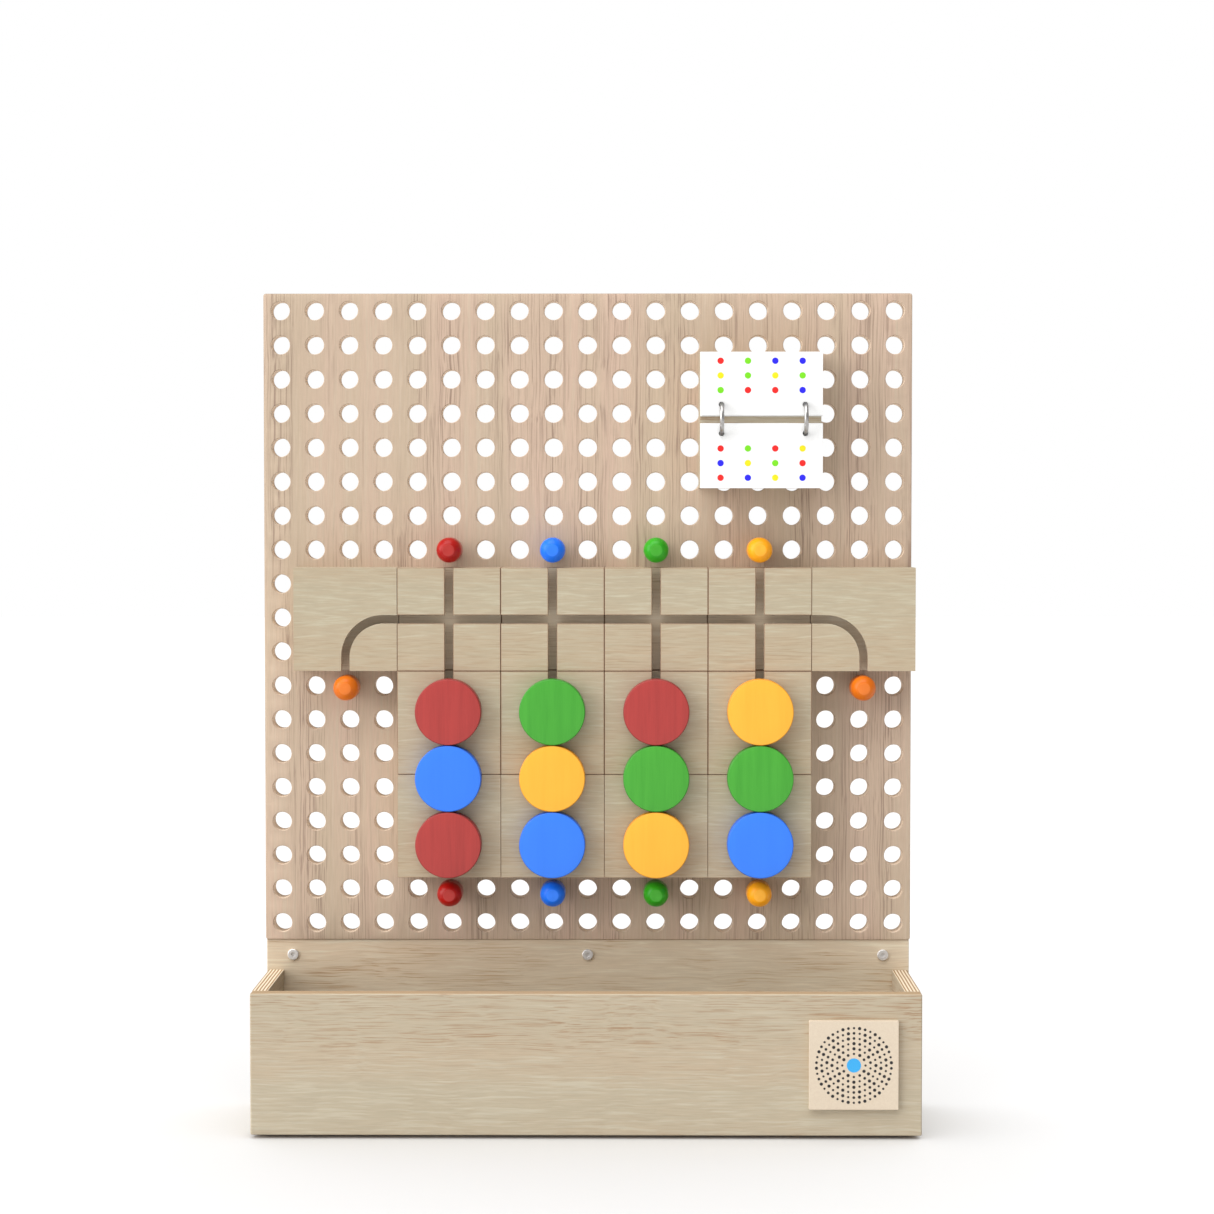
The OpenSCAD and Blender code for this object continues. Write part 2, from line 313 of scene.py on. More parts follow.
def add_node(tree: bpy.types.NodeTree, kind: str, inputs: dict | None = None, ramp: Sequence | None = None,
             **settings: object) -> bpy.types.Node:
    """Adds a node with its settings, values and links.

    Args:
        tree: the material's node tree.
        kind: Blender's name of the node type.
        inputs: socket name or number to a value, or to the socket that feeds it.
        ramp: for a colour ramp, pairs of position and colour.
        settings: the node's own settings.

    Returns:
        The node.
    """
    node = tree.nodes.new(kind)
    for name, value in settings.items():
        setattr(node, name, value)
    for key, value in (inputs or {}).items():
        if isinstance(value, Socket):
            tree.links.new(value, node.inputs[key])
        else:
            node.inputs[key].default_value = value
    if ramp:
        elements = node.color_ramp.elements
        while len(elements) < len(ramp):
            elements.new(1.0)
        for element, (position, colour) in zip(elements, ramp):
            element.position = position
            element.color = colour
    return node


def fresh_material(name: str) -> tuple[bpy.types.Material, bpy.types.NodeTree, bpy.types.Node]:
    """Makes an empty material.

    Args:
        name: the material's name.

    Returns:
        The material, its node tree and its Principled shader.
    """
    material = bpy.data.materials.new(name)
    material.use_nodes = True
    tree = material.node_tree
    tree.nodes.clear()
    shader = add_node(tree, "ShaderNodeBsdfPrincipled")
    add_node(tree, "ShaderNodeOutputMaterial", {"Surface": shader.outputs[0]})
    return material, tree, shader


class Axis(Enum):
    """The direction that grain or a stripe runs or is counted in."""

    X = 0
    Y = 1
    Z = 2


def per_metre(sizes_mm: Sequence[float]) -> Point:
    """Turns pattern sizes along X, Y and Z in millimetres into Mapping scales."""
    return tuple(1 / (size * MM) for size in sizes_mm)


@dataclass(frozen=True)
class Veneer:
    """Sliced and sanded veneer under a thin matt lacquer.

    The eye sees broken dark threads that follow the growth, pale washes between them, zones
    where they are strong or nearly gone, slow changes of tone, and very fine fibres.
    """

    name: str
    cool: str
    warm: str
    line: str
    pale: str
    grain: Axis
    across: Axis
    line_gap_mm: float
    line_run_mm: float
    band_gap_mm: float
    patch_run_mm: float
    bend_mm: float
    line_strength: float
    zones: tuple[tuple[float, float, float], ...] = ()
    local: bool = False
    roughness: float = 0.52

    def sizes(self, along: float, across: float) -> Point:
        """Returns pattern sizes on X, Y and Z, longer along the grain than across it."""
        sizes = [across, across, across]
        sizes[self.grain.value] = along
        return per_metre(sizes)

    def material(self) -> bpy.types.Material:
        """Builds the veneer's material."""
        material, tree, shader = fresh_material(self.name)
        place = self.bent_place(tree)
        bands = self.streaks(tree, place, 320, self.band_gap_mm, 2.0, (0.36, 0.64))
        patches = self.streaks(tree, place, self.patch_run_mm, self.band_gap_mm * 0.6, 2.0, (0.42, 0.6))
        threads = self.streaks(tree, place, self.line_run_mm, self.line_gap_mm, 3.0, (0.5, 0.66))
        washes = self.streaks(tree, place, self.line_run_mm * 0.8, self.line_gap_mm * 2.2, 3.0, (0.48, 0.68))
        # fibres are about 0.15 mm in the wood, and drawn 0.7 mm apart so that they show
        fibres = self.streaks(tree, place, 14, 0.7, 2.0, (0.25, 0.75))
        warmth, strength = self.zone_levels(tree, place, bands, patches)
        tone = add_node(tree, "ShaderNodeMix", {0: warmth, 6: linear(self.cool), 7: linear(self.warm)},
                        data_type="RGBA")
        calm = add_node(tree, "ShaderNodeMath", {0: 1.0, 1: strength}, operation="SUBTRACT", use_clamp=True)
        wash = add_node(tree, "ShaderNodeMath", {0: washes, 1: calm.outputs[0]}, operation="MULTIPLY")
        washed = add_node(tree, "ShaderNodeMix",
                          {0: wash.outputs[0], 6: tone.outputs[2], 7: linear(self.pale)},
                          data_type="RGBA")
        shown = add_node(tree, "ShaderNodeMath", {0: threads, 1: strength}, operation="MULTIPLY")
        drawn = add_node(tree, "ShaderNodeMath", {0: shown.outputs[0], 1: self.line_strength},
                         operation="MULTIPLY")
        lined = add_node(tree, "ShaderNodeMix",
                         {0: drawn.outputs[0], 6: washed.outputs[2], 7: linear(self.line)}, data_type="RGBA")
        shading = add_node(tree, "ShaderNodeMapRange", {"Value": fibres, "To Min": 0.93, "To Max": 1.06})
        finished = add_node(tree, "ShaderNodeVectorMath", {0: lined.outputs[2], "Scale": shading.outputs[0]},
                            operation="SCALE")
        tree.links.new(finished.outputs[0], shader.inputs["Base Color"])
        shader.inputs["Roughness"].default_value = self.roughness
        shader.inputs["Specular IOR Level"].default_value = 0.3
        relief = add_node(tree, "ShaderNodeBump",
                          {"Strength": 0.12, "Distance": 0.05 * MM, "Height": fibres})
        tree.links.new(relief.outputs[0], shader.inputs["Normal"])
        return material

    def bent_place(self, tree: bpy.types.NodeTree) -> Socket:
        """Adds coordinates that drift slowly, so that nothing in the wood runs dead straight.

        Args:
            tree: the material's node tree.

        Returns:
            The socket with the coordinates.
        """
        place = add_node(tree, "ShaderNodeTexCoord").outputs["Object"]
        if self.local:
            # each tile was sawn from the same stretch of the sheet, a little further along
            origin = add_node(tree, "ShaderNodeAttribute", attribute_name="grain_origin").outputs["Vector"]
            place = add_node(tree, "ShaderNodeVectorMath", {0: place, 1: origin},
                             operation="SUBTRACT").outputs[0]
        # the lines swing once in about 45 mm
        drift = add_node(tree, "ShaderNodeTexNoise",
                         {"Vector": place, "Scale": 1 / (45 * MM), "Detail": 2.0})
        swing = (self.bend_mm * MM,) * 3
        bent = add_node(tree, "ShaderNodeVectorMath", {0: drift.outputs["Color"], 1: swing, 2: place},
                        operation="MULTIPLY_ADD")
        return bent.outputs[0]

    def zone_levels(self, tree: bpy.types.NodeTree, place: Socket, bands: Socket,
                    patches: Socket) -> tuple[Socket, Socket]:
        """Works out where the sheet is warm and where its lines are strong.

        Args:
            tree: the material's node tree.
            place: the coordinates.
            bands: wide bands, used alone where the sheet has no zones.
            patches: patches that break up the lines.

        Returns:
            The sockets with the warmth and with the strength of the lines.
        """
        if not self.zones:
            return bands, patches
        axes = add_node(tree, "ShaderNodeSeparateXYZ", {0: place})
        low, high = self.zones[0][0], self.zones[-1][0]
        sway = add_node(tree, "ShaderNodeMath", {0: bands, 1: 5 * MM, 2: axes.outputs[self.across.value]},
                        operation="MULTIPLY_ADD")
        spread = add_node(tree, "ShaderNodeMapRange", {"Value": sway.outputs[0], "From Min": low * MM,
                                                       "From Max": high * MM})
        levels = add_node(tree, "ShaderNodeValToRGB", {0: spread.outputs[0]},
                          ramp=[((at - low) / (high - low), (warm, lines, 0, 1))
                                for at, warm, lines in self.zones])
        split = add_node(tree, "ShaderNodeSeparateColor", {0: levels.outputs[0]})
        warmth = add_node(tree, "ShaderNodeMix", {0: 0.35, 2: split.outputs[0], 3: bands}, data_type="FLOAT")
        worn = add_node(tree, "ShaderNodeMapRange", {"Value": patches, "To Min": 0.55, "To Max": 1.0})
        strength = add_node(tree, "ShaderNodeMath", {0: split.outputs[1], 1: worn.outputs[0]},
                            operation="MULTIPLY")
        return warmth.outputs[0], strength.outputs[0]

    def streaks(self, tree: bpy.types.NodeTree, place: Socket, along: float, across: float,
                detail: float, edge: tuple[float, float]) -> Socket:
        """Adds noise drawn out along the grain.

        Args:
            tree: the material's node tree.
            place: the coordinates.
            along: the streaks' length in millimetres.
            across: their spacing in millimetres.
            detail: the number of finer layers.
            edge: the noise values that become 0 and 1.

        Returns:
            The socket with the streaks, from 0 to 1.
        """
        mapped = add_node(tree, "ShaderNodeMapping", {"Vector": place, "Scale": self.sizes(along, across)})
        noise = add_node(tree, "ShaderNodeTexNoise",
                         {"Vector": mapped.outputs[0], "Scale": 1.0, "Detail": detail, "Roughness": 0.55})
        levels = add_node(tree, "ShaderNodeMapRange",
                          {"Value": noise.outputs["Fac"], "From Min": edge[0], "From Max": edge[1]})
        return levels.outputs[0]


@dataclass(frozen=True)
class PlyEdge:
    """Sawn and sanded plywood edge: thin light and dark layers with glue lines between them."""

    name: str
    light: str
    dark: str
    across: Axis
    pair_mm: float = 2.6

    def material(self) -> bpy.types.Material:
        """Builds the edge's material."""
        material, tree, shader = fresh_material(self.name)
        place = add_node(tree, "ShaderNodeTexCoord").outputs["Object"]
        # a band texture repeats every 2 pi / 20 units at scale 1
        repeat = 2 * math.pi / 20
        layers = add_node(tree, "ShaderNodeTexWave",
                          {"Vector": place, "Scale": repeat / (self.pair_mm * MM), "Distortion": 0.8,
                           "Detail": 2.0, "Detail Scale": 0.2},
                          wave_type="BANDS", bands_direction=self.across.name, wave_profile="SIN")
        sizes = [14.0, 14.0, 14.0]
        sizes[self.across.value] = 0.5
        mapped = add_node(tree, "ShaderNodeMapping", {"Vector": place, "Scale": per_metre(sizes)})
        ends = add_node(tree, "ShaderNodeTexNoise",
                        {"Vector": mapped.outputs[0], "Scale": 1.0, "Detail": 3.0})
        shades = add_node(tree, "ShaderNodeValToRGB", {0: layers.outputs["Fac"]},
                          ramp=[(0.25, linear(self.dark)), (0.62, linear(self.light))])
        worn = add_node(tree, "ShaderNodeMapRange",
                        {"Value": ends.outputs["Fac"], "To Min": 0.86, "To Max": 1.1})
        finished = add_node(tree, "ShaderNodeVectorMath", {0: shades.outputs[0], "Scale": worn.outputs[0]},
                            operation="SCALE")
        tree.links.new(finished.outputs[0], shader.inputs["Base Color"])
        shader.inputs["Roughness"].default_value = 0.68
        shader.inputs["Specular IOR Level"].default_value = 0.25
        relief = add_node(tree, "ShaderNodeBump",
                          {"Strength": 0.25, "Distance": 0.1 * MM, "Height": layers.outputs["Fac"]})
        tree.links.new(relief.outputs[0], shader.inputs["Normal"])
        return material


@dataclass(frozen=True)
class StainedWood:
    """Water stain under satin lacquer on a turned disc; a thin stain lets the grain through."""

    name: str
    shade: str
    deep: str
    grain_shows: float

    def material(self) -> bpy.types.Material:
        """Builds the stain's material."""
        material, tree, shader = fresh_material(self.name)
        place = add_node(tree, "ShaderNodeTexCoord").outputs["Object"]
        # growth lines about 3 mm apart run up the disc, fibres are drawn 0.4 mm apart
        rough = add_node(tree, "ShaderNodeMapping", {"Vector": place, "Scale": per_metre((4.5, 9, 90))})
        growth = add_node(tree, "ShaderNodeTexNoise",
                          {"Vector": rough.outputs[0], "Scale": 1.0, "Detail": 3.0,
                           "Distortion": 0.35})
        fine = add_node(tree, "ShaderNodeMapping", {"Vector": place, "Scale": per_metre((0.4, 2, 14))})
        fibre = add_node(tree, "ShaderNodeTexNoise",
                         {"Vector": fine.outputs[0], "Scale": 1.0, "Detail": 2.0})
        both = add_node(tree, "ShaderNodeMix", {0: 0.35, 2: growth.outputs["Fac"], 3: fibre.outputs["Fac"]},
                        data_type="FLOAT")
        depth = add_node(tree, "ShaderNodeMapRange",
                         {"Value": both.outputs[0], "From Min": 0.4, "From Max": 0.66,
                          "To Min": 0.0, "To Max": self.grain_shows})
        stain = add_node(tree, "ShaderNodeMix", {0: depth.outputs[0], 6: linear(self.shade),
                                                 7: linear(self.deep)}, data_type="RGBA")
        tree.links.new(stain.outputs[2], shader.inputs["Base Color"])
        shader.inputs["Roughness"].default_value = 0.42
        shader.inputs["Specular IOR Level"].default_value = 0.4
        relief = add_node(tree, "ShaderNodeBump", {"Strength": 0.08, "Distance": 0.05 * MM,
                                                   "Height": fibre.outputs["Fac"]})
        tree.links.new(relief.outputs[0], shader.inputs["Normal"])
        return material


@dataclass(frozen=True)
class GlossPaint:
    """Sprayed enamel on a turned peg: an even colour, a low sheen and the faintest orange peel."""

    name: str
    shade: str
    deep: str
    roughness: float = 0.3
    gloss: float = 0.22

    def material(self) -> bpy.types.Material:
        """Builds the enamel's material."""
        material, tree, shader = fresh_material(self.name)
        place = add_node(tree, "ShaderNodeTexCoord").outputs["Object"]
        cloud = add_node(tree, "ShaderNodeTexNoise", {"Vector": place, "Scale": 1 / (6 * MM), "Detail": 2.0})
        spread = add_node(tree, "ShaderNodeMapRange", {"Value": cloud.outputs["Fac"], "From Min": 0.35,
                                                       "From Max": 0.65})
        shade = add_node(tree, "ShaderNodeMix", {0: spread.outputs[0], 6: linear(self.shade),
                                                 7: linear(self.deep)}, data_type="RGBA")
        tree.links.new(shade.outputs[2], shader.inputs["Base Color"])
        shader.inputs["Roughness"].default_value = self.roughness
        shader.inputs["Specular IOR Level"].default_value = self.gloss
        peel = add_node(tree, "ShaderNodeTexNoise",
                        {"Vector": place, "Scale": 1 / (1.2 * MM), "Detail": 1.0})
        relief = add_node(tree, "ShaderNodeBump", {"Strength": 0.05, "Distance": 0.03 * MM,
                                                   "Height": peel.outputs["Fac"]})
        tree.links.new(relief.outputs[0], shader.inputs["Normal"])
        return material


@dataclass(frozen=True)
class BareMetal:
    """Steel with drawn or turned marks that spread its shine, and a painted shade that darkens it further
    back along Y.
    """

    name: str
    shade: str
    painted_shade: str
    roughness: float
    mark_mm: Point
    painted_shade_from_mm: float = 100.0

    def material(self) -> bpy.types.Material:
        """Builds the metal's material."""
        material, tree, shader = fresh_material(self.name)
        place = add_node(tree, "ShaderNodeTexCoord").outputs["Object"]
        mapped = add_node(tree, "ShaderNodeMapping", {"Vector": place, "Scale": per_metre(self.mark_mm)})
        marks = add_node(tree, "ShaderNodeTexNoise",
                         {"Vector": mapped.outputs[0], "Scale": 1.0, "Detail": 3.0})
        shine = add_node(tree, "ShaderNodeMapRange",
                         {"Value": marks.outputs["Fac"], "From Min": 0.3, "From Max": 0.7,
                          "To Min": self.roughness * 0.75, "To Max": self.roughness * 1.35})
        tree.links.new(shine.outputs[0], shader.inputs["Roughness"])
        # painted shade and painted dark reflection: the colour darkens over 4 mm towards the back, along Y
        depth = add_node(tree, "ShaderNodeSeparateXYZ", {0: place})
        back = add_node(tree, "ShaderNodeMapRange", {"Value": depth.outputs["Y"],
                                                     "From Min": (self.painted_shade_from_mm - 4) * MM,
                                                     "From Max": self.painted_shade_from_mm * MM})
        shade = add_node(tree, "ShaderNodeMix", {0: back.outputs[0], 6: linear(self.shade),
                                                 7: linear(self.painted_shade)}, data_type="RGBA")
        tree.links.new(shade.outputs[2], shader.inputs["Base Color"])
        shader.inputs["Metallic"].default_value = 1.0
        return material


@dataclass(frozen=True)
class Board:
    """Paper, card, printed film or moulded sheet: an even colour with a fine tooth."""

    name: str
    shade: str
    deep: str
    roughness: float
    tooth_mm: float
    bump: float = 0.1

    def material(self) -> bpy.types.Material:
        """Builds the sheet's material."""
        material, tree, shader = fresh_material(self.name)
        place = add_node(tree, "ShaderNodeTexCoord").outputs["Object"]
        tooth = add_node(tree, "ShaderNodeTexNoise", {"Vector": place, "Scale": 1 / (self.tooth_mm * MM),
                                                      "Detail": 2.0})
        spread = add_node(tree, "ShaderNodeMapRange", {"Value": tooth.outputs["Fac"], "From Min": 0.35,
                                                       "From Max": 0.65})
        shade = add_node(tree, "ShaderNodeMix", {0: spread.outputs[0], 6: linear(self.shade),
                                                 7: linear(self.deep)}, data_type="RGBA")
        tree.links.new(shade.outputs[2], shader.inputs["Base Color"])
        shader.inputs["Roughness"].default_value = self.roughness
        shader.inputs["Specular IOR Level"].default_value = 0.3
        relief = add_node(tree, "ShaderNodeBump", {"Strength": self.bump, "Distance": 0.04 * MM,
                                                   "Height": tooth.outputs["Fac"]})
        tree.links.new(relief.outputs[0], shader.inputs["Normal"])
        return material


class Shade(Enum):
    """The colours of the discs, pegs and printed dots."""

    RED = "red"
    BLUE = "blue"
    GREEN = "green"
    YELLOW = "yellow"
    ORANGE = "orange"


R, G, B, Y, O = Shade.RED, Shade.GREEN, Shade.BLUE, Shade.YELLOW, Shade.ORANGE


def in_colours(kind: type, name: str, values: dict[Shade, tuple]) -> dict[Shade, bpy.types.Material]:
    """Makes one finish in several colours.

    Args:
        kind: the finish's class.
        name: the end of the materials' names.
        values: the finish's values in each colour.

    Returns:
        The materials by colour.
    """
    return {shade: kind(f"{shade.value}_{name}", *row).material() for shade, row in values.items()}


class Finishes:
    """All the finishes of the game, each made once."""

    def __init__(self) -> None:
        """Makes every finish."""
        self.veneers()
        self.edges()
        self.small_parts()
        self.colours()

    def veneers(self) -> None:
        """Makes the wood's faces: pinkish beech for the board and dowels, grey-brown ash elsewhere."""
        ash = ("#B3A892", "#B7A68E", "#9B7B5C", "#BFB6A1")
        ash_sizes = (0.65, 42, 26, 80, 4.0, 0.9)
        zones = ((0, 0.5, 0.5), (12, 0.2, 0.2), (32, 0.0, 0.12), (42, 0.6, 0.3), (54, 1.0, 0.4),
                 (60, 0.6, 0.9), (82, 0.4, 1.0), (98, 0.2, 0.9))
        tile_zones = ((-30, 0.8, 0.8), (-10, 1.0, 0.8), (-2, 0.5, 0.4), (8, 0.0, 0.15), (16, 0.1, 0.15),
                      (30, 0.7, 0.5))
        self.beech = Veneer("beech_veneer", "#BBA790", "#C4AA96", "#8A7264", "#C0AD97", Axis.Z, Axis.X,
                            0.8, 120, 26, 190, 3.0, 0.8).material()
        self.dowel = Veneer("beech_dowel", "#C9AC86", "#D2B58E", "#A08058", "#D8BF9C", Axis.Y, Axis.X,
                            0.6, 40, 9, 40, 0.5, 0.6).material()
        self.ash_front = Veneer("ash_veneer_front", *ash, Axis.X, Axis.Z, *ash_sizes, zones).material()
        self.ash_side = Veneer("ash_veneer_side", *ash, Axis.Y, Axis.Z, *ash_sizes, zones).material()
        self.ash_flat = Veneer("ash_veneer_flat", *ash, Axis.X, Axis.Y, *ash_sizes).material()
        self.ash_rail = Veneer("ash_veneer_rail", "#C9BBA3", "#CDB99F", "#A98A68", "#D6CAB2", Axis.X, Axis.Z,
                               0.65, 42, 30, 80, 4.0, 0.9).material()
        self.ash_tile = Veneer("ash_veneer_tile", "#B1A58D", "#B5A389", "#9C8062", "#BDB59D", Axis.X, Axis.Z,
                               0.7, 24, 15, 40, 3.0, 0.6, tile_zones, local=True).material()
        self.ash_routed = Veneer("ash_routed_core", "#D2C3AC", "#CDBBA2", "#9C8062", "#D8CCB8", Axis.X,
                                 Axis.Z, 0.7, 24, 15, 40, 3.0, 0.5).material()

    def edges(self) -> None:
        """Makes the sawn edges."""
        self.browned = Board("browned_sawn_edge", "#A3866D", "#8E725C", 0.7, 0.6, 0.2).material()
        self.ply_side = PlyEdge("ply_edge_of_sides", "#E6D8C0", "#A07E58", Axis.X, 1.9).material()
        self.ply_front = PlyEdge("ply_edge_of_front", "#B6A082", "#9B7C5A", Axis.Y, 1.9).material()
        self.ply_board = PlyEdge("ply_edge_of_board", "#B29A80", "#94765A", Axis.Y, 2.0).material()
        self.ply_hole = PlyEdge("ply_core_in_holes", "#EBDAC6", "#DCC5AC", Axis.Y, 2.4).material()

    def small_parts(self) -> None:
        """Makes the metals, the pads' rubber, the card, the plaque and its print."""
        marks = (0.4, 0.4, 0.4)
        wire_marks = (0.3, 2.5, 2.5)
        # the steel's painted shade would only begin 96 mm back along Y
        self.steel = BareMetal("zinc_plated_steel", "#E4E2E0", "#C3C1BF", 0.5, marks).material()
        # the ring darkens from Y -2.8 mm to 1.2 mm: painted shade and painted dark reflection where it turns
        # in towards the cards
        self.chrome = BareMetal("nickel_plated_wire", "#B4B2B0", "#38332F", 0.3, wire_marks, 1.2).material()
        self.rubber = Board("pad_rubber", "#4C4946", "#5A5753", 0.8, 0.6, 0.3).material()
        self.card = Board("coated_card", "#F2F2F1", "#EDEDEC", 0.5, 0.5).material()
        self.plaque = Board("cream_printed_board", "#D5C6B1", "#D1C1AC", 0.45, 0.8).material()
        self.print_black = Board("black_print", "#2C2A2B", "#343132", 0.5, 0.4).material()
        self.print_blue = Board("blue_print", "#3FA9E6", "#38A0DE", 0.5, 0.4).material()

    def colours(self) -> None:
        """Makes the discs' stains and painted rim shades, the pegs' enamels and painted highlights, and the
        cards' inks.
        """
        self.stains = in_colours(StainedWood, "stain", {
            R: ("#AD3C38", "#9D3532", 0.9), G: ("#47A333", "#3C972B", 0.9),
            B: ("#347CEF", "#3077E7", 0.6), Y: ("#F3B238", "#EDAA31", 0.6)})
        # painted shade: darker copies of the stains on the discs' rounded rims, standing in for the shade
        # along the rounding
        self.painted_rim_shades = in_colours(StainedWood, "painted_rim_shade", {
            R: ("#932F2B", "#852926", 0.6), G: ("#378C27", "#2E8220", 0.6),
            B: ("#2769D9", "#2465D1", 0.6), Y: ("#E29726", "#DD9121", 0.6)})
        self.enamels = in_colours(GlossPaint, "enamel", {
            R: ("#A8150F", "#9C110D"), B: ("#1B70EA", "#1868DE"), G: ("#2F9A1A", "#2A9016"),
            Y: ("#F7A51A", "#F09C14"), O: ("#D96E14", "#D0660F")})
        # painted highlight: lighter, paler copies of the enamels for the pegs' front flats, standing in for
        # the bright reflection that a flat catches
        self.painted_highlight_flats = in_colours(GlossPaint, "enamel_painted_highlight", {
            R: ("#B23934", "#AA332F"), B: ("#3680F6", "#327AEE"), G: ("#46A532", "#409D2D"),
            Y: ("#F6B03A", "#F0A832"), O: ("#E07A32", "#DA732C")})
        self.inks = in_colours(Board, "ink", {
            R: ("#E82826", "#E22523", 0.45, 0.5), B: ("#2B26E8", "#2722E0", 0.45, 0.5),
            G: ("#7BDB22", "#75D41F", 0.45, 0.5), Y: ("#F2E020", "#ECDA1C", 0.45, 0.5)})


def dress(piece: Piece, *materials: bpy.types.Material) -> Piece:
    """Gives a piece its materials, the first one all over."""
    piece.data.materials.clear()
    for material in materials:
        piece.data.materials.append(material)
    return piece


def edge_dress(piece: Piece, material: bpy.types.Material, chosen: Test) -> Piece:
    """Gives the chosen faces of a dressed piece another material.

    Args:
        piece: the piece, which has its first material.
        material: the material of the chosen faces.
        chosen: tells from a face's middle and normal whether it is wanted.

    Returns:
        The same piece.
    """
    piece.data.materials.append(material)
    last = len(piece.data.materials) - 1
    for face in piece.data.polygons:
        if chosen(face.center, face.normal):
            face.material_index = last
    return piece


def place_in_model(piece: Piece, body: str, slot: str, *nodes: str) -> None:
    """Makes a finished piece part of the model.

    Args:
        piece: the finished piece.
        body: the CAD body that it moves with.
        slot: the name of a material slot; not used.
        nodes: the CAD nodes that it stands for.
    """
    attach(piece, body)
    if nodes:
        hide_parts(*nodes)
    LOG.info("%s: %d faces, rides on %s", piece.name, len(piece.data.polygons), body)


# ------------------------------------------------------------------ the board


@dataclass
class PegBoard:
    """The square board with its grid of peg holes."""

    finishes: Finishes
    grid: int = 19
    hole_radius: float = 5.5 * MM
    hole_sides: int = 24
    rim: float = 0.35 * MM
    corner: float = 1.5 * MM
    edge: float = 0.6 * MM
    weld: float = 0.01 * MM
    nut_radius: float = 4.1 * MM
    nut_depth: float = 2 * MM
    tongue_thickness: float = 5 * MM

    def build(self) -> None:
        """Builds the board with its tongue and puts it in the model."""
        low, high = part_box("pegboard")
        width = high.x - low.x
        bottom = high.z - width
        board = self.perforated(Vector((low.x, low.y, bottom)), high)
        tongue = self.tongue(low, high, bottom)
        board = join("board_perforated", [board, tongue])
        place_in_model(board, STAND, "board_wood", "pegboard")

    def perforated(self, low: Vector, high: Vector) -> Piece:
        """Builds the square part.

        Args:
            low: its lowest corner.
            high: its highest corner.

        Returns:
            The dressed board, without its tongue.
        """
        pitch = (high.x - low.x) / self.grid
        cell = block("cell", low, (low.x + pitch, high.y, low.z + pitch))
        middle = low + Vector((pitch / 2, 0, pitch / 2))
        thickness = high.y - low.y
        drill = turn("drill", tuple(middle),
                     [(-MM, self.hole_radius), (thickness + MM, self.hole_radius)], self.hole_sides)
        carve(cell, [drill])
        self.chamfer_rims(cell, middle, low.y, high.y)
        edit(cell, "FACE", lambda centre, normal: self.on_cell_side(centre, middle, pitch))
        bpy.ops.mesh.delete(type="FACE")
        let_go()
        for step in ((pitch, 0, 0), (0, 0, pitch)):
            modify(cell, "ARRAY", count=self.grid, use_relative_offset=False, use_constant_offset=True,
                   constant_offset_displace=step, use_merge_vertices=True, merge_threshold=self.weld)
        self.close_sides(cell, low, high)
        self.round_outline(cell, low, high)
        dress(cell, self.finishes.beech)
        edge_dress(cell, self.finishes.ply_hole, lambda centre, normal: abs(normal.y) < 0.3)
        edge_dress(cell, self.finishes.ply_board, lambda centre, normal: abs(normal.y) < 0.9 and (
            self.from_outline(centre, low, high) < self.edge))
        pick(cell)
        bpy.ops.object.shade_smooth_by_angle(angle=math.radians(35))
        return cell

    def from_outline(self, point: Vector, low: Vector, high: Vector) -> float:
        """Returns a point's distance from the square outline."""
        return min(point.x - low.x, high.x - point.x, point.z - low.z, high.z - point.z)

    def on_cell_side(self, centre: Vector, middle: Vector, pitch: float) -> bool:
        """Tells whether a face lies on one of the four sides where cells meet."""
        reach = max(abs(centre.x - middle.x), abs(centre.z - middle.z))
        return reach > pitch / 2 - self.weld

    def chamfer_rims(self, cell: Piece, middle: Vector, front: float, back: float) -> None:
        """Takes the sharp edge off both rims of the cell's hole."""

        def on_rim(a: Vector, b: Vector) -> bool:
            """Tells whether an edge lies on the front or the back rim."""
            near = all(math.hypot(p.x - middle.x, p.z - middle.z) < self.hole_radius * 1.01 for p in (a, b))
            return near and any(max(abs(a.y - face), abs(b.y - face)) < SAME for face in (front, back))

        bevel_edges(cell, on_rim, self.rim, 1)

    def close_sides(self, board: Piece, low: Vector, high: Vector) -> None:
        """Closes the open outline between the front and back sheets.

        Args:
            board: the perforated board.
            low: the square part's lowest corner.
            high: its highest corner.
        """

        def on_front_outline(a: Vector, b: Vector) -> bool:
            """Tells whether an edge lies on the front sheet's outline."""
            return all(max(self.from_outline(p, low, high), p.y - low.y) < self.weld for p in (a, b))

        edit(board, "EDGE", on_front_outline)
        extrude((0, high.y - low.y, 0))
        bpy.ops.mesh.select_all(action="SELECT")
        bpy.ops.mesh.remove_doubles(threshold=self.weld)
        face_outwards()
        let_go()

    def round_outline(self, board: Piece, low: Vector, high: Vector) -> None:
        """Rounds the board's four corners and takes the sharp edge off its outline.

        Args:
            board: the closed board.
            low: the square part's lowest corner.
            high: its highest corner.
        """
        middle = (low + high) / 2
        inner = (high.x - low.x) / 2 - self.corner

        def at_corner(a: Vector, b: Vector) -> bool:
            """Tells whether an edge runs through a corner from front to back."""
            gaps = [min(abs(p[n] - low[n]), abs(p[n] - high[n])) for p in (a, b) for n in (0, 2)]
            return max(gaps) < self.weld

        bevel_edges(board, at_corner, self.corner, 4)

        def inside_by(point: Vector) -> float:
            """Returns a point's distance from the rounded outline."""
            across = abs(point.x - middle.x) - inner
            along = abs(point.z - middle.z) - inner
            if across > 0 and along > 0:
                return self.corner - math.hypot(across, along)
            return self.corner - max(across, along)

        def on_outline(a: Vector, b: Vector) -> bool:
            """Tells whether an edge lies on the outline of the front or the back."""
            flat = abs(a.y - b.y) < SAME and min(a.y - low.y, high.y - a.y) < SAME
            return flat and max(inside_by(a), inside_by(b)) < 0.02 * MM

        bevel_edges(board, on_outline, self.edge, 2)

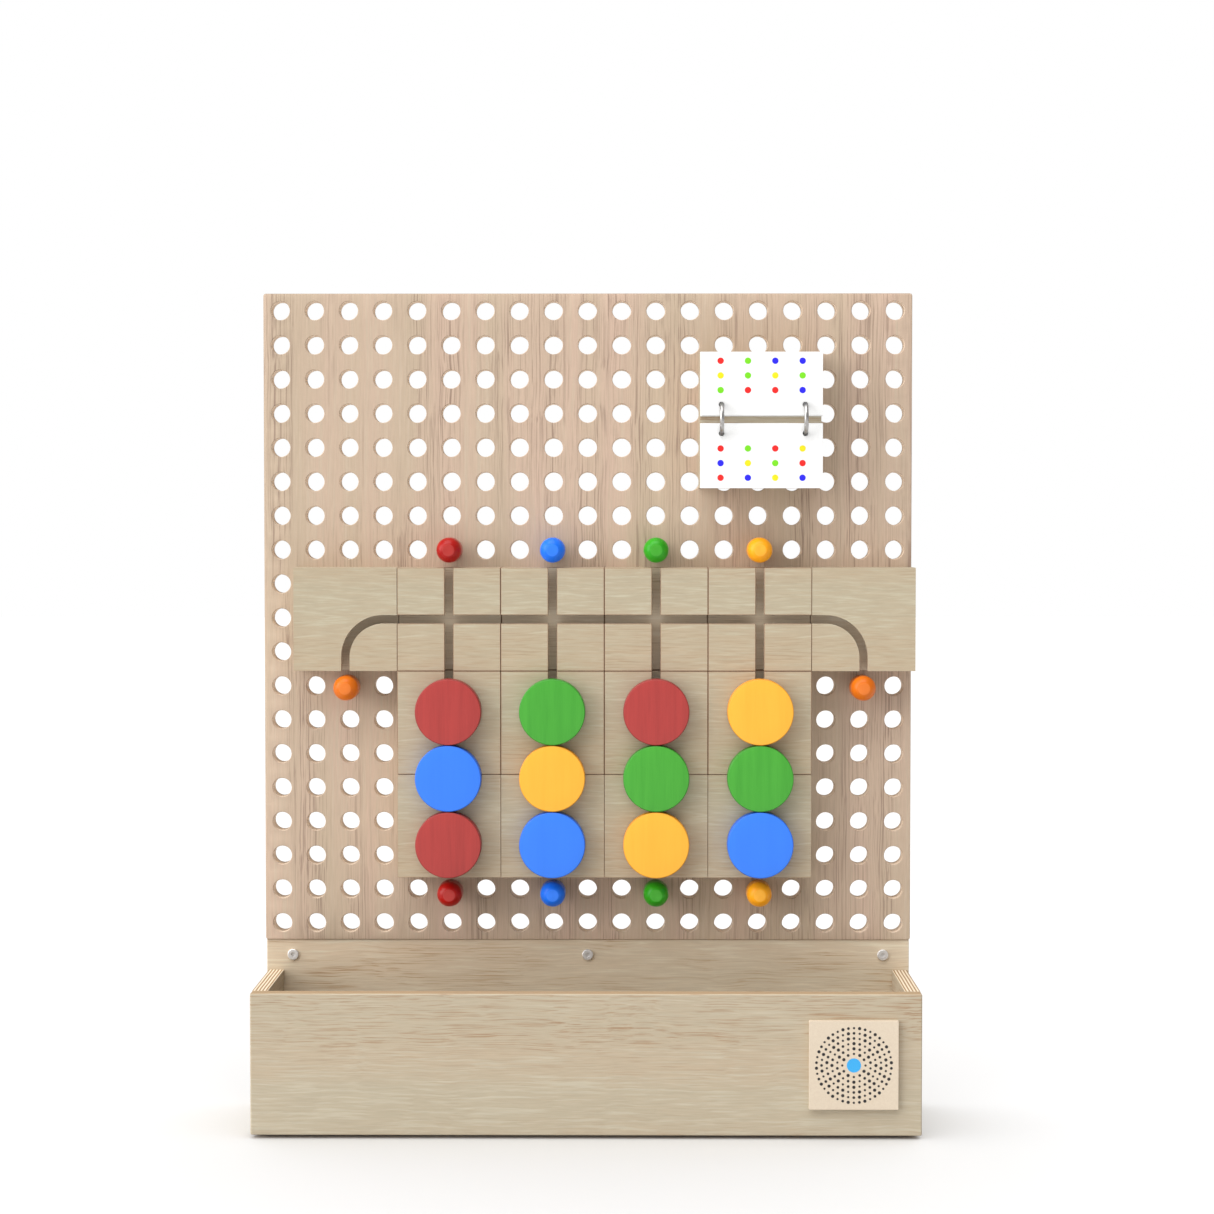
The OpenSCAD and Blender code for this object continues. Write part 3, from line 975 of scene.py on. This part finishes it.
    def tongue(self, low: Vector, high: Vector, bottom: float) -> Piece:
        """Builds the tongue that laps behind the rail, with its nut recesses.

        Args:
            low: the CAD board's lowest corner.
            high: its highest corner.
            bottom: the height of the square part's lower edge.

        Returns:
            The dressed tongue.
        """
        bolts_low, bolts_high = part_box("rail_nuts")
        height = (bolts_low.z + bolts_high.z) / 2
        reach = (bolts_high.x - bolts_low.x) / 2 - (bolts_high.z - bolts_low.z) / 2
        rail_low, rail_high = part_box("tray_back_rail")
        tongue = block("tongue", (rail_low.x, high.y - self.tongue_thickness, low.z),
                       (rail_high.x, high.y, bottom))
        recess = [(-self.nut_depth, self.nut_radius), (MM, self.nut_radius)]
        carve(tongue, [turn("recess", (x, high.y, height), recess, 32) for x in (-reach, 0, reach)])
        soften(tongue, 0.3 * MM, 2)
        return dress(tongue, self.finishes.beech)


# ------------------------------------------------------------------ the tray


def sawn(centre: Vector, normal: Vector) -> bool:
    """Tells whether a face of a front or back panel is one of its sawn edges."""
    return abs(normal.z) > 0.5 or abs(normal.x) > 0.5


@dataclass
class Tray:
    """The open plywood tray that the board stands on."""

    finishes: Finishes
    round_edge: float = 0.9 * MM
    lap_height: float = 18 * MM
    lap_depth: float = 5 * MM
    bolt_shank: float = 1.9 * MM
    bolt_chamfer: float = 0.35 * MM
    socket: float = 1.5 * MM
    socket_depth: float = 1.1 * MM
    pad_width: float = 8 * MM
    pad_length: float = 20 * MM
    pad_corner: float = 3 * MM

    def build(self) -> None:
        """Builds the tray's walls and small parts."""
        self.front()
        self.side("tray_side_left", "side_wall_left")
        self.side("tray_side_right", "side_wall_right")
        self.rail()
        self.bottom()
        self.bolts()
        self.pads()

    def front(self) -> None:
        """Builds the front wall, whose top edge shows its layers."""
        low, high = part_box("tray_front_panel")
        wall = dress(block("front_wall", low, high), self.finishes.ash_front)
        edge_dress(wall, self.finishes.ply_front, sawn)
        soften(wall, self.round_edge)
        place_in_model(wall, STAND, "tray_wood", "tray_front_panel")

    def side(self, node: str, name: str) -> None:
        """Builds a side wall.

        Args:
            node: the CAD node that it stands for.
            name: the piece's name.
        """
        low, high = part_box(node)
        wall = dress(block(name, low, high), self.finishes.ash_side)
        edge_dress(wall, self.finishes.ply_side, lambda centre, normal: abs(normal.z) > 0.5)
        soften(wall, 0.5 * MM)
        place_in_model(wall, STAND, "tray_wood", node)

    def rail(self) -> None:
        """Builds the rail with the lip that the board stands on."""
        low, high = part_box("tray_back_rail")
        lap = high.z - self.lap_height
        lip = high.y - self.lap_depth
        rail = block("back_rail", low, (high.x, high.y, lap))
        pick(rail)
        bpy.ops.object.mode_set(mode="EDIT")
        bpy.ops.mesh.select_all(action="SELECT")
        bpy.ops.mesh.bisect(plane_co=(0, lip, 0), plane_no=(0, 1, 0))
        let_go()
        edit(rail, "FACE", lambda centre, normal: normal.z > 0.5 and centre.y < lip)
        extrude((0, 0, self.lap_height))
        let_go()
        dress(rail, self.finishes.ash_rail)
        edge_dress(rail, self.finishes.ply_front, sawn)
        soften(rail, 0.4 * MM)
        place_in_model(rail, STAND, "tray_wood", "tray_back_rail")

    def bottom(self) -> None:
        """Builds the bottom panel, which shows inside the tray and from below."""
        low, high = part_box("tray_bottom")
        panel = dress(block("bottom_panel", low, high), self.finishes.ash_flat)
        soften(panel, 0.3 * MM, 2)
        place_in_model(panel, STAND, "tray_wood", "tray_bottom")

    def bolts(self) -> None:
        """Builds the three socket-head bolts."""
        low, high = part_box("rail_bolts")
        radius = (high.z - low.z) / 2
        height = (low.z + high.z) / 2
        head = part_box("tray_back_rail")[0].y - low.y
        outline = [(0.0, radius - self.bolt_chamfer), (self.bolt_chamfer, radius), (head, radius),
                   (head, self.bolt_shank), (high.y - low.y, self.bolt_shank)]
        socket = [(-MM, self.socket), (self.socket_depth, self.socket)]
        bolts = []
        for x in (low.x + radius, 0.0, high.x - radius):
            bolt = turn("bolt", (x, low.y, height), outline, 40)
            carve(bolt, [turn("socket", (x, low.y, height), socket, 6)])
            soften(bolt, 0.08 * MM, 2)
            bolts.append(dress(bolt, self.finishes.steel))
        place_in_model(join("socket_bolts", bolts), STAND, "bolt_steel", "rail_bolts")

    def pads(self) -> None:
        """Builds the four pads under the tray."""
        low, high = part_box("foot_pads")
        pads = []
        for x in (low.x, high.x - self.pad_width):
            for y in (low.y, high.y - self.pad_length):
                pad = block("pad", (x, y, low.z), (x + self.pad_width, y + self.pad_length, high.z))
                bevel_edges(pad, lambda a, b: max(abs(a.x - b.x), abs(a.y - b.y)) < SAME, self.pad_corner, 6)
                pads.append(dress(soften(pad, 0.3 * MM, 2), self.finishes.rubber))
        place_in_model(join("rubber_pads", pads), STAND, "pad_rubber", "foot_pads")


# ------------------------------------------------------------------ the plaque


@dataclass
class Plaque:
    """The square plaque, with a plain rosette of printed dots."""

    finishes: Finishes
    corner: float = 0.5 * MM
    centre_spot: float = 4 * MM
    first_ring: float = 6.5 * MM
    ring_step: float = 2.9 * MM
    rings: int = 6
    dot_radius: float = 0.95 * MM
    ink: float = 0.05 * MM

    def build(self) -> None:
        """Builds the plaque and its print."""
        low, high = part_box("plaque")
        plate = block("plate", low, high)
        bevel_edges(plate, lambda a, b: max(abs(a.x - b.x), abs(a.z - b.z)) < SAME, self.corner, 4)
        dress(soften(plate, 0.2 * MM, 2), self.finishes.plaque)
        middle = (low + high) / 2
        plate = join("square_plaque", [plate, *self.rosette(middle.x, low.y, middle.z)])
        place_in_model(plate, STAND, "plaque_plastic", "plaque")

    def rosette(self, x: float, y: float, z: float) -> list[Piece]:
        """Prints a centre spot and rings of dots that grow outwards.

        Args:
            x: the plaque's middle across.
            y: the plaque's front face.
            z: the plaque's middle height.

        Returns:
            The printed spots.
        """
        spots = [self.spot(x, y, z, self.centre_spot, self.finishes.print_blue, 32)]
        for ring in range(self.rings):
            reach = self.first_ring + ring * self.ring_step
            count = 12 + 6 * ring
            for n in range(count):
                angle = 2 * math.pi * (n + 0.5 * (ring % 2)) / count
                radius = self.dot_radius * (0.7 + 0.3 * ((n + ring) % 3) / 2)
                spots.append(self.spot(x + reach * math.cos(angle), y, z + reach * math.sin(angle), radius,
                                       self.finishes.print_black, 10))
        return spots

    def spot(self, x: float, y: float, z: float, radius: float, ink: bpy.types.Material,
             sides: int) -> Piece:
        """Prints one round spot as a thin film."""
        return dress(turn("spot", (x, y, z), [(-self.ink, radius), (0, radius)], sides), ink)


# ------------------------------------------------------------------ the track


class Groove(Enum):
    """The ways a groove runs through a tile."""

    LANE = "lane"
    LANE_END = "lane_end"
    CROSS = "cross"
    BEND_LEFT = "bend_left"
    BEND_RIGHT = "bend_right"


@dataclass
class TrackTiles:
    """The fourteen square tiles with the discs' T-shaped groove."""

    finishes: Finishes
    slot: float = 5 * MM
    neck: float = 6 * MM
    under: float = 13 * MM
    under_depth: float = 5 * MM
    bend: float = 22 * MM
    lane_stop: float = 10 * MM
    edge: float = 0.35 * MM
    over: float = 1 * MM

    def build(self) -> None:
        """Models each kind of tile once and copies it to its places."""
        places = {Groove.BEND_LEFT: ["bend_tile_left"], Groove.BEND_RIGHT: ["bend_tile_right"]}
        for groove in (Groove.CROSS, Groove.LANE, Groove.LANE_END):
            places[groove] = [f"{groove.value}_tile_{n}" for n in range(1, 5)]
        for groove, nodes in places.items():
            low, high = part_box(nodes[0])
            pattern = self.tile(groove, low, high)
            for count, node in enumerate(nodes):
                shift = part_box(node)[0] - low
                tile = copy_to(pattern, node.replace("tile", "track"), shift)
                self.mark_grain(tile, (low + high) / 2 + shift, count)
                place_in_model(tile, STAND, "tile_wood", node)
            bpy.data.objects.remove(pattern)

    def tile(self, groove: Groove, low: Vector, high: Vector) -> Piece:
        """Models a tile at the place of the first one of its kind.

        Args:
            groove: the way its groove runs.
            low: the tile's lowest corner.
            high: its highest corner.

        Returns:
            The dressed tile.
        """
        piece = block("tile", low, high)
        middle = (low + high) / 2
        half = (high.x - low.x) / 2 + self.over
        neck = low.y + self.neck
        carve(piece, self.cutters(groove, middle, half, self.slot / 2, low.y - self.over, neck + 0.5 * MM))
        carve(piece, self.cutters(groove, middle, half, self.under / 2, neck, neck + self.under_depth))
        dress(piece, self.finishes.ash_tile, self.finishes.browned)
        edge_dress(piece, self.finishes.ash_routed, lambda centre, normal: self.in_groove(centre, low, high))
        return soften(piece, self.edge, 2, slot=1)

    def in_groove(self, centre: Vector, low: Vector, high: Vector) -> bool:
        """Tells whether a face lies inside the tile's outer faces."""
        return all(low[n] + 0.1 * MM < centre[n] < high[n] - 0.1 * MM for n in range(3))

    def cutters(self, groove: Groove, middle: Vector, half: float, half_width: float, start: float,
                end: float) -> list[Piece]:
        """Makes the cutters of one layer of a groove.

        Args:
            groove: the way the groove runs.
            middle: the tile's middle.
            half: half the tile's width and a little more.
            half_width: half the width of this layer of the groove.
            start: the layer's front.
            end: the layer's back.

        Returns:
            The cutters.
        """
        x, z = middle.x, middle.z
        lane = ((x - half_width, start, z - half), (x + half_width, end, z + half))
        if groove is Groove.LANE:
            return [block("cut", *lane)]
        if groove is Groove.CROSS:
            across = ((x - half, start, z - half_width), (x + half, end, z + half_width))
            return [block("cut", *lane), block("cut", *across)]
        if groove is Groove.LANE_END:
            stop = z - self.lane_stop
            open_lane = block("cut", (x - half_width, start, stop), (x + half_width, end, z + half))
            round_end = turn("cut", (x, start, stop), [(0, half_width), (end - start, half_width)], 32)
            return [open_lane, round_end]
        side = 1 if groove is Groove.BEND_LEFT else -1
        return [self.bend_cutter(x, z, side, half, half_width, start, end)]

    def bend_cutter(self, x: float, z: float, side: int, half: float, half_width: float, start: float,
                    end: float) -> Piece:
        """Sweeps one layer of the groove from the tile's side round to its lower edge.

        Args:
            x: the tile's middle across.
            z: the tile's middle height.
            side: 1 where the groove comes in from the right, and -1 from the left.
            half: half the tile's width and a little more.
            half_width: half the width of this layer of the groove.
            start: the layer's front.
            end: the layer's back.

        Returns:
            The closed cutter.
        """
        cutter = block("cut", (x - half_width, start, z - half), (x + half_width, end, z - self.bend))
        edit(cutter, "FACE", lambda centre, normal: normal.z > 0.5)
        steps = 18
        angle = side * math.pi / 2 / steps
        hub = (x + side * self.bend, (start + end) / 2, z - self.bend)
        for _ in range(steps):
            bpy.ops.mesh.extrude_region_move()
            bpy.ops.transform.rotate(value=-angle, orient_axis="Y", orient_type="GLOBAL",
                                     center_override=hub)
        extrude((side * (half - self.bend), 0, 0))
        face_outwards()
        let_go()
        return cutter

    def mark_grain(self, tile: Piece, middle: Vector, count: int) -> None:
        """Stores where in the veneer sheet a tile was sawn.

        Args:
            tile: the tile.
            middle: the tile's middle.
            count: the tile's number among its kind.
        """
        origin = (middle.x + (count % 4) * 17 * MM, middle.y, middle.z + (count % 3) * 2.5 * MM)
        layer = tile.data.attributes.new("grain_origin", "FLOAT_VECTOR", "POINT")
        layer.data.foreach_set("vector", origin * len(tile.data.vertices))


# ------------------------------------------------------------------ discs and pegs


@dataclass
class Discs:
    """The twelve discs, each turned with its stem and foot."""

    finishes: Finishes
    round_front: float = 0.7 * MM
    stem: float = 2.1 * MM
    foot: float = 5.8 * MM
    foot_thickness: float = 4 * MM
    head: float = 10 * MM
    back_edge: float = 0.4 * MM
    foot_edge: float = 0.3 * MM
    rows: tuple[tuple[str, tuple[Shade, ...]], ...] = (
        ("lower", (R, B, Y, B)), ("middle", (B, Y, G, G)), ("upper", (R, G, R, Y)))

    def build(self) -> None:
        """Turns one disc and copies it to its twelve places."""
        low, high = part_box("lower_disc_1")
        middle = (low + high) / 2
        pattern = self.disc((middle.x, low.y, middle.z), (high.x - low.x) / 2, high.y - low.y)
        for row, shades in self.rows:
            for lane, shade in enumerate(shades, start=1):
                node = f"{row}_disc_{lane}"
                disc = copy_to(pattern, f"{row}_{shade.value}_disc_{lane}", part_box(node)[0] - low)
                dress(disc, self.finishes.stains[shade])
                # painted shade along the rounded rim
                self.painted_rim_shade(disc, node, shade)
                place_in_model(disc, node, f"disc_{shade.value}", node)
        bpy.data.objects.remove(pattern)

    def painted_rim_shade(self, disc: Piece, node: str, shade: Shade) -> None:
        """Paints shade on a disc's rounded rim with a darker copy of its stain.

        Args:
            disc: the dressed disc.
            node: its CAD node.
            shade: its colour.
        """
        low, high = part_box(node)
        middle = (low + high) / 2
        inner = (high.x - low.x) / 2 - self.round_front * 0.6
        edge_dress(disc, self.finishes.painted_rim_shades[shade],
                   lambda centre, normal: math.hypot(centre.x - middle.x, centre.z - middle.z) > inner)

    def disc(self, front: Point, radius: float, depth: float) -> Piece:
        """Turns a disc.

        Args:
            front: the middle of its front face.
            radius: its radius.
            depth: its depth from the face to the back of the foot.

        Returns:
            The disc.
        """
        soft, back, edge = self.round_front, self.back_edge, self.foot_edge
        foot = depth - self.foot_thickness
        outline = [(0.0, radius * 0.5), *arc(soft, soft, radius - soft, 0, 90, 5)]
        outline += [(self.head - back, radius), (self.head, radius - back), (self.head, self.stem)]
        outline += [(foot, self.stem), (foot, self.foot - edge), (foot + edge, self.foot)]
        outline += [(depth - edge, self.foot), (depth, self.foot - edge)]
        piece = turn("disc", front, outline, 96)
        bpy.ops.object.shade_smooth_by_angle(angle=math.radians(30))
        return piece


@dataclass
class Pegs:
    """The ten turned stop pegs."""

    finishes: Finishes
    flat: float = 0.9 * MM
    knob: float = 11 * MM
    back_chamfer: float = 0.5 * MM
    chamfer: float = 1 * MM
    shank: float = 5.4 * MM

    def build(self) -> None:
        """Turns one peg and copies it to its ten places."""
        low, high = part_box("top_peg_1")
        middle = (low + high) / 2
        pattern = self.peg((middle.x, low.y, middle.z), (high.x - low.x) / 2, high.y - low.y)
        lanes = list(enumerate((R, B, G, Y), start=1))
        shades = [(f"{row}_peg_{n}", shade) for row in ("top", "bottom") for n, shade in lanes]
        for node, shade in (*shades, ("left_exit_peg", O), ("right_exit_peg", O)):
            peg = copy_to(pattern, f"{node}_{shade.value}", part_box(node)[0] - low)
            dress(peg, self.finishes.enamels[shade])
            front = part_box(node)[0].y
            # the front flat takes the lighter enamel, a painted highlight
            edge_dress(peg, self.finishes.painted_highlight_flats[shade], lambda centre, normal: centre.y < front + 0.05 * MM)
            place_in_model(peg, node, f"peg_{shade.value}", node)
        bpy.data.objects.remove(pattern)

    def peg(self, front: Point, radius: float, depth: float) -> Piece:
        """Turns a peg with a knob, rounded in front to a small flat, and a plain shank.

        Args:
            front: the middle of the knob's flat.
            radius: the knob's radius.
            depth: the peg's whole length.

        Returns:
            The peg.
        """
        centre = radius - self.flat
        back = centre + self.knob
        start = math.degrees(math.acos(centre / radius))
        flat_edge = radius * math.sin(math.radians(start))
        outline = [(0.0, flat_edge * 0.5), (0.0, flat_edge * 0.82), (0.08 * MM, flat_edge)]
        outline += arc(centre, radius, 0, start + 6, 90, 16)
        outline += [(back - self.back_chamfer, radius), (back, radius - self.back_chamfer)]
        outline += [(back, self.shank)]
        outline += [(depth - self.chamfer, self.shank), (depth, self.shank - self.chamfer)]
        piece = turn("peg", front, outline, 64)
        bpy.ops.object.shade_smooth_by_angle(angle=math.radians(38))
        return piece


# ------------------------------------------------------------------ the flip cards


@dataclass
class FlipCards:
    """The card block, its rings, and the leaves with their printed dots."""

    finishes: Finishes
    dot: float = 1.85 * MM
    ink: float = 0.04 * MM
    column_gap: float = 15.7 * MM
    row_gap: float = 8.4 * MM
    upper_first_row: float = 5.2 * MM
    lower_first_row: float = 14.0 * MM
    wire: float = 1.3 * MM
    hole: float = 1.6 * MM
    leaf_thickness: float = 0.8 * MM
    upper: tuple[tuple[Shade, ...], ...] = ((R, G, B, B), (Y, G, Y, G), (G, R, R, B))
    lower: tuple[tuple[Shade, ...], ...] = ((R, G, R, Y), (B, Y, G, R), (R, B, Y, B))

    def build(self) -> None:
        """Builds the block, the rings, the piles and the two top leaves."""
        self.block_piece()
        rings = [self.ring("ring_left"), self.ring("ring_right")]
        self.pile("upper_card_stack", "upper_pile", 2, rings)
        self.pile("lower_card_stack", "lower_pile", 3, rings)
        self.top_leaf("upper_card", self.upper, self.upper_first_row, rings)
        self.top_leaf("lower_card", self.lower, self.lower_first_row, rings)

    def block_piece(self) -> None:
        """Builds the wooden block, cut for the rings."""
        low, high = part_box("card_block")
        piece = block("card_block_wood", low, high)
        channel = self.wire + 0.2 * MM
        carve(piece, [self.torus(*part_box(node), channel, 32) for node in ("ring_left", "ring_right")])
        soften(piece, 0.6 * MM)
        dress(piece, self.finishes.ash_front)
        place_in_model(piece, STAND, "tile_wood", "card_block")

    def torus(self, low: Vector, high: Vector, wire: float, rounds: int) -> Piece:
        """Adds a round ring between two corners of its box.

        Args:
            low: the CAD ring's lowest corner.
            high: its highest corner.
            wire: the radius of this ring's wire.
            rounds: the number of sides around the ring.

        Returns:
            The ring, with its place in its mesh.
        """
        let_go()
        bpy.ops.mesh.primitive_torus_add(
            location=(low + high) / 2, rotation=(0, math.pi / 2, 0), major_segments=rounds,
            minor_segments=16, major_radius=(high.z - low.z) / 2 - self.wire, minor_radius=wire)
        return settle(newest())

    def ring(self, node: str) -> Piece:
        """Builds a ring with the fine parting line where it opens.

        Args:
            node: the CAD node of the ring.

        Returns:
            The dressed ring.
        """
        low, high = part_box(node)
        piece = self.torus(low, high, self.wire, 72)
        piece.name = f"wire_{node}"
        middle = (low + high) / 2
        opening = math.radians(202.5)

        def at_joint(centre: Vector, normal: Vector) -> bool:
            """Tells whether a face lies where the ring opens."""
            angle = math.atan2(centre.z - middle.z, centre.y - middle.y) % (2 * math.pi)
            return abs(angle - opening) < math.radians(2.6)

        edit(piece, "FACE", at_joint)
        bpy.ops.mesh.inset(thickness=0.1 * MM, depth=-0.07 * MM)
        let_go()
        dress(piece, self.finishes.chrome)
        pick(piece)
        bpy.ops.object.shade_smooth_by_angle(angle=math.radians(40))
        place_in_model(piece, STAND, "ring_chrome", node)
        return piece

    def leaf(self, name: str, low: Vector, high: Vector, rings: Sequence[Piece]) -> Piece:
        """Builds one card, punched where the rings pass through it.

        Args:
            name: the card's name.
            low: its lowest corner.
            high: its highest corner.
            rings: the rings.

        Returns:
            The dressed card.
        """
        piece = block(name, low, high)
        depth = (low.y + high.y) / 2
        punches = []
        for ring in rings:
            box = [Vector(corner) for corner in ring.bound_box]
            middle = sum(box, Vector()) / 8
            reach = (max(c.z for c in box) - min(c.z for c in box)) / 2 - self.wire
            height = math.sqrt(reach ** 2 - (depth - middle.y) ** 2)
            up = 1 if low.z > middle.z - reach / 2 and high.z > middle.z + reach else -1
            punches.append(turn("punch", (middle.x, low.y, middle.z + up * height),
                                [(-MM, self.hole), (high.y - low.y + MM, self.hole)], 24))
        carve(piece, punches)
        soften(piece, 0.08 * MM, 2)
        return dress(piece, self.finishes.card)

    def pile(self, node: str, name: str, count: int, rings: Sequence[Piece]) -> None:
        """Builds the leaves under a top leaf.

        Args:
            node: the CAD node of the pile.
            name: the pile's name.
            count: the number of leaves.
            rings: the rings.
        """
        low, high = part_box(node)
        step = (high.y - low.y - self.leaf_thickness) / (count - 1)
        leaves = []
        for n in range(count):
            front = low.y + n * step
            leaves.append(self.leaf("leaf", Vector((low.x, front, low.z)),
                                    Vector((high.x, front + self.leaf_thickness, high.z)), rings))
        place_in_model(join(name, leaves), STAND, "card_white", node)

    def top_leaf(self, node: str, pattern: Sequence[Sequence[Shade]], first_row: float,
                 rings: Sequence[Piece]) -> None:
        """Builds a top leaf with its printed pattern.

        Args:
            node: the CAD node and body of the leaf.
            pattern: rows of colours, from the top.
            first_row: distance of the first row from the leaf's upper edge.
            rings: the rings.
        """
        low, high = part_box(node)
        parts = [self.leaf(f"{node}_printed", low, high, rings)]
        middle = (low.x + high.x) / 2
        for row, shades in enumerate(pattern):
            for column, shade in enumerate(shades):
                x = middle + (column - 1.5) * self.column_gap
                z = high.z - first_row - row * self.row_gap
                spot = turn("dot", (x, low.y, z), [(-self.ink, self.dot), (0, self.dot)], 32)
                parts.append(dress(spot, self.finishes.inks[shade]))
        place_in_model(join(f"{node}_printed", parts), node, "card_white", node)


# ------------------------------------------------------------------ small inner parts


@dataclass
class Fasteners:
    """The dowels and nuts, whose CAD shapes are right as they are."""

    finishes: Finishes

    def build(self, nodes: dict[str, Piece]) -> None:
        """Gives each CAD node its material."""
        for name in ("tray_dowels", "tile_dowels", "card_block_dowels"):
            self.dress_node(nodes[name], self.finishes.dowel)
        self.dress_node(nodes["rail_nuts"], self.finishes.steel)

    def dress_node(self, node: Piece, material: bpy.types.Material) -> None:
        """Puts a material in a CAD node's slot."""
        if not node.material_slots:
            node.data.materials.append(material)
        node.material_slots[0].material = material
        LOG.info("%s: CAD shape kept, dressed in %s", node.name, material.name)


# ------------------------------------------------------------------ studio


@dataclass
class Studio:
    """The white floor, the soft light from the upper left, and the camera."""

    floor_size: float = 12.0
    sky: float = 0.42
    lamps: tuple[tuple[str, float, Point, float, str], ...] = (
        ("top_softbox", 2.6, (-0.2, -0.35, 1.0), 60.0, "EXCLUDE"),
        ("left_softbox", 3.0, (-1.0, -0.42, 0.3), 60.0, "EXCLUDE"),
        ("floor_softbox", 2.7, (-0.25, 0.0, 1.0), 160.0, "INCLUDE"),
    )
    floor_white: float = 0.88
    camera_place: Point = (0.0215, -1.470, 0.345)
    camera_pitch: float = 0.03231
    camera_yaw: float = 0.00672
    lens: float = 75.95

    def build(self) -> None:
        """Builds floor, light and camera."""
        floor = self.floor()
        self.light(floor)
        self.camera()

    def floor(self) -> Piece:
        """Adds the plain white floor."""
        let_go()
        bpy.ops.mesh.primitive_plane_add(size=self.floor_size, location=(0, 2, 0))
        floor = newest()
        floor.name = "studio_floor"
        settle(floor)
        material, tree, shader = fresh_material("white_floor_paper")
        shader.inputs["Base Color"].default_value = (self.floor_white, self.floor_white, self.floor_white, 1)
        shader.inputs["Roughness"].default_value = 0.9
        shader.inputs["Specular IOR Level"].default_value = 0.0
        dress(floor, material)
        return floor

    def light(self, floor: Piece) -> None:
        """Adds the even room light, the white backdrop that the camera sees, and the softboxes.

        Args:
            floor: the floor, which has a softbox of its own and is screened off from the others.
        """
        world = bpy.data.worlds.new("white_room")
        bpy.context.scene.world = world
        world.use_nodes = True
        tree = world.node_tree
        tree.nodes.clear()
        room = add_node(tree, "ShaderNodeBackground", {"Color": (1, 1, 1, 1), "Strength": self.sky})
        backdrop = add_node(tree, "ShaderNodeBackground", {"Color": (1, 1, 1, 1), "Strength": 1.0})
        seen = add_node(tree, "ShaderNodeLightPath").outputs["Is Camera Ray"]
        both = add_node(tree, "ShaderNodeMixShader", {0: seen, 1: room.outputs[0], 2: backdrop.outputs[0]})
        add_node(tree, "ShaderNodeOutputWorld", {"Surface": both.outputs[0]})
        for name, power, place, spread, floor_state in self.lamps:
            lamp = bpy.data.lights.new(name, "SUN")
            lamp.energy = power
            lamp.angle = math.radians(spread)
            softbox = bpy.data.objects.new(name, lamp)
            softbox.rotation_euler = Vector(place).to_track_quat("Z", "Y").to_euler()
            bpy.context.scene.collection.objects.link(softbox)
            screen = bpy.data.collections.new(f"{name}_screen")
            screen.objects.link(floor)
            softbox.light_linking.receiver_collection = screen
            screen.collection_objects[0].light_linking.link_state = floor_state

    def camera(self) -> None:
        """Adds the camera, a little right of the middle and looking slightly down."""
        data = bpy.data.cameras.new("camera")
        data.lens = self.lens
        data.sensor_width = 36.0
        data.clip_start = 0.01
        camera = bpy.data.objects.new("camera", data)
        camera.location = self.camera_place
        camera.rotation_euler = (math.pi / 2 - self.camera_pitch, 0, self.camera_yaw)
        bpy.context.scene.collection.objects.link(camera)
        bpy.context.scene.camera = camera
        bpy.context.scene.view_settings.view_transform = "Standard"


def main() -> None:
    """Builds the looks around the CAD frame."""
    logging.basicConfig(level=logging.INFO, format="%(name)s: %(message)s")
    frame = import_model()
    let_go()
    finishes = Finishes()
    for part in (PegBoard(finishes), Tray(finishes), Plaque(finishes), TrackTiles(finishes), Discs(finishes),
                 Pegs(finishes), FlipCards(finishes)):
        part.build()
    Fasteners(finishes).build(frame["nodes"])
    Studio().build()
    let_go()


if __name__ == "__main__":
    main()
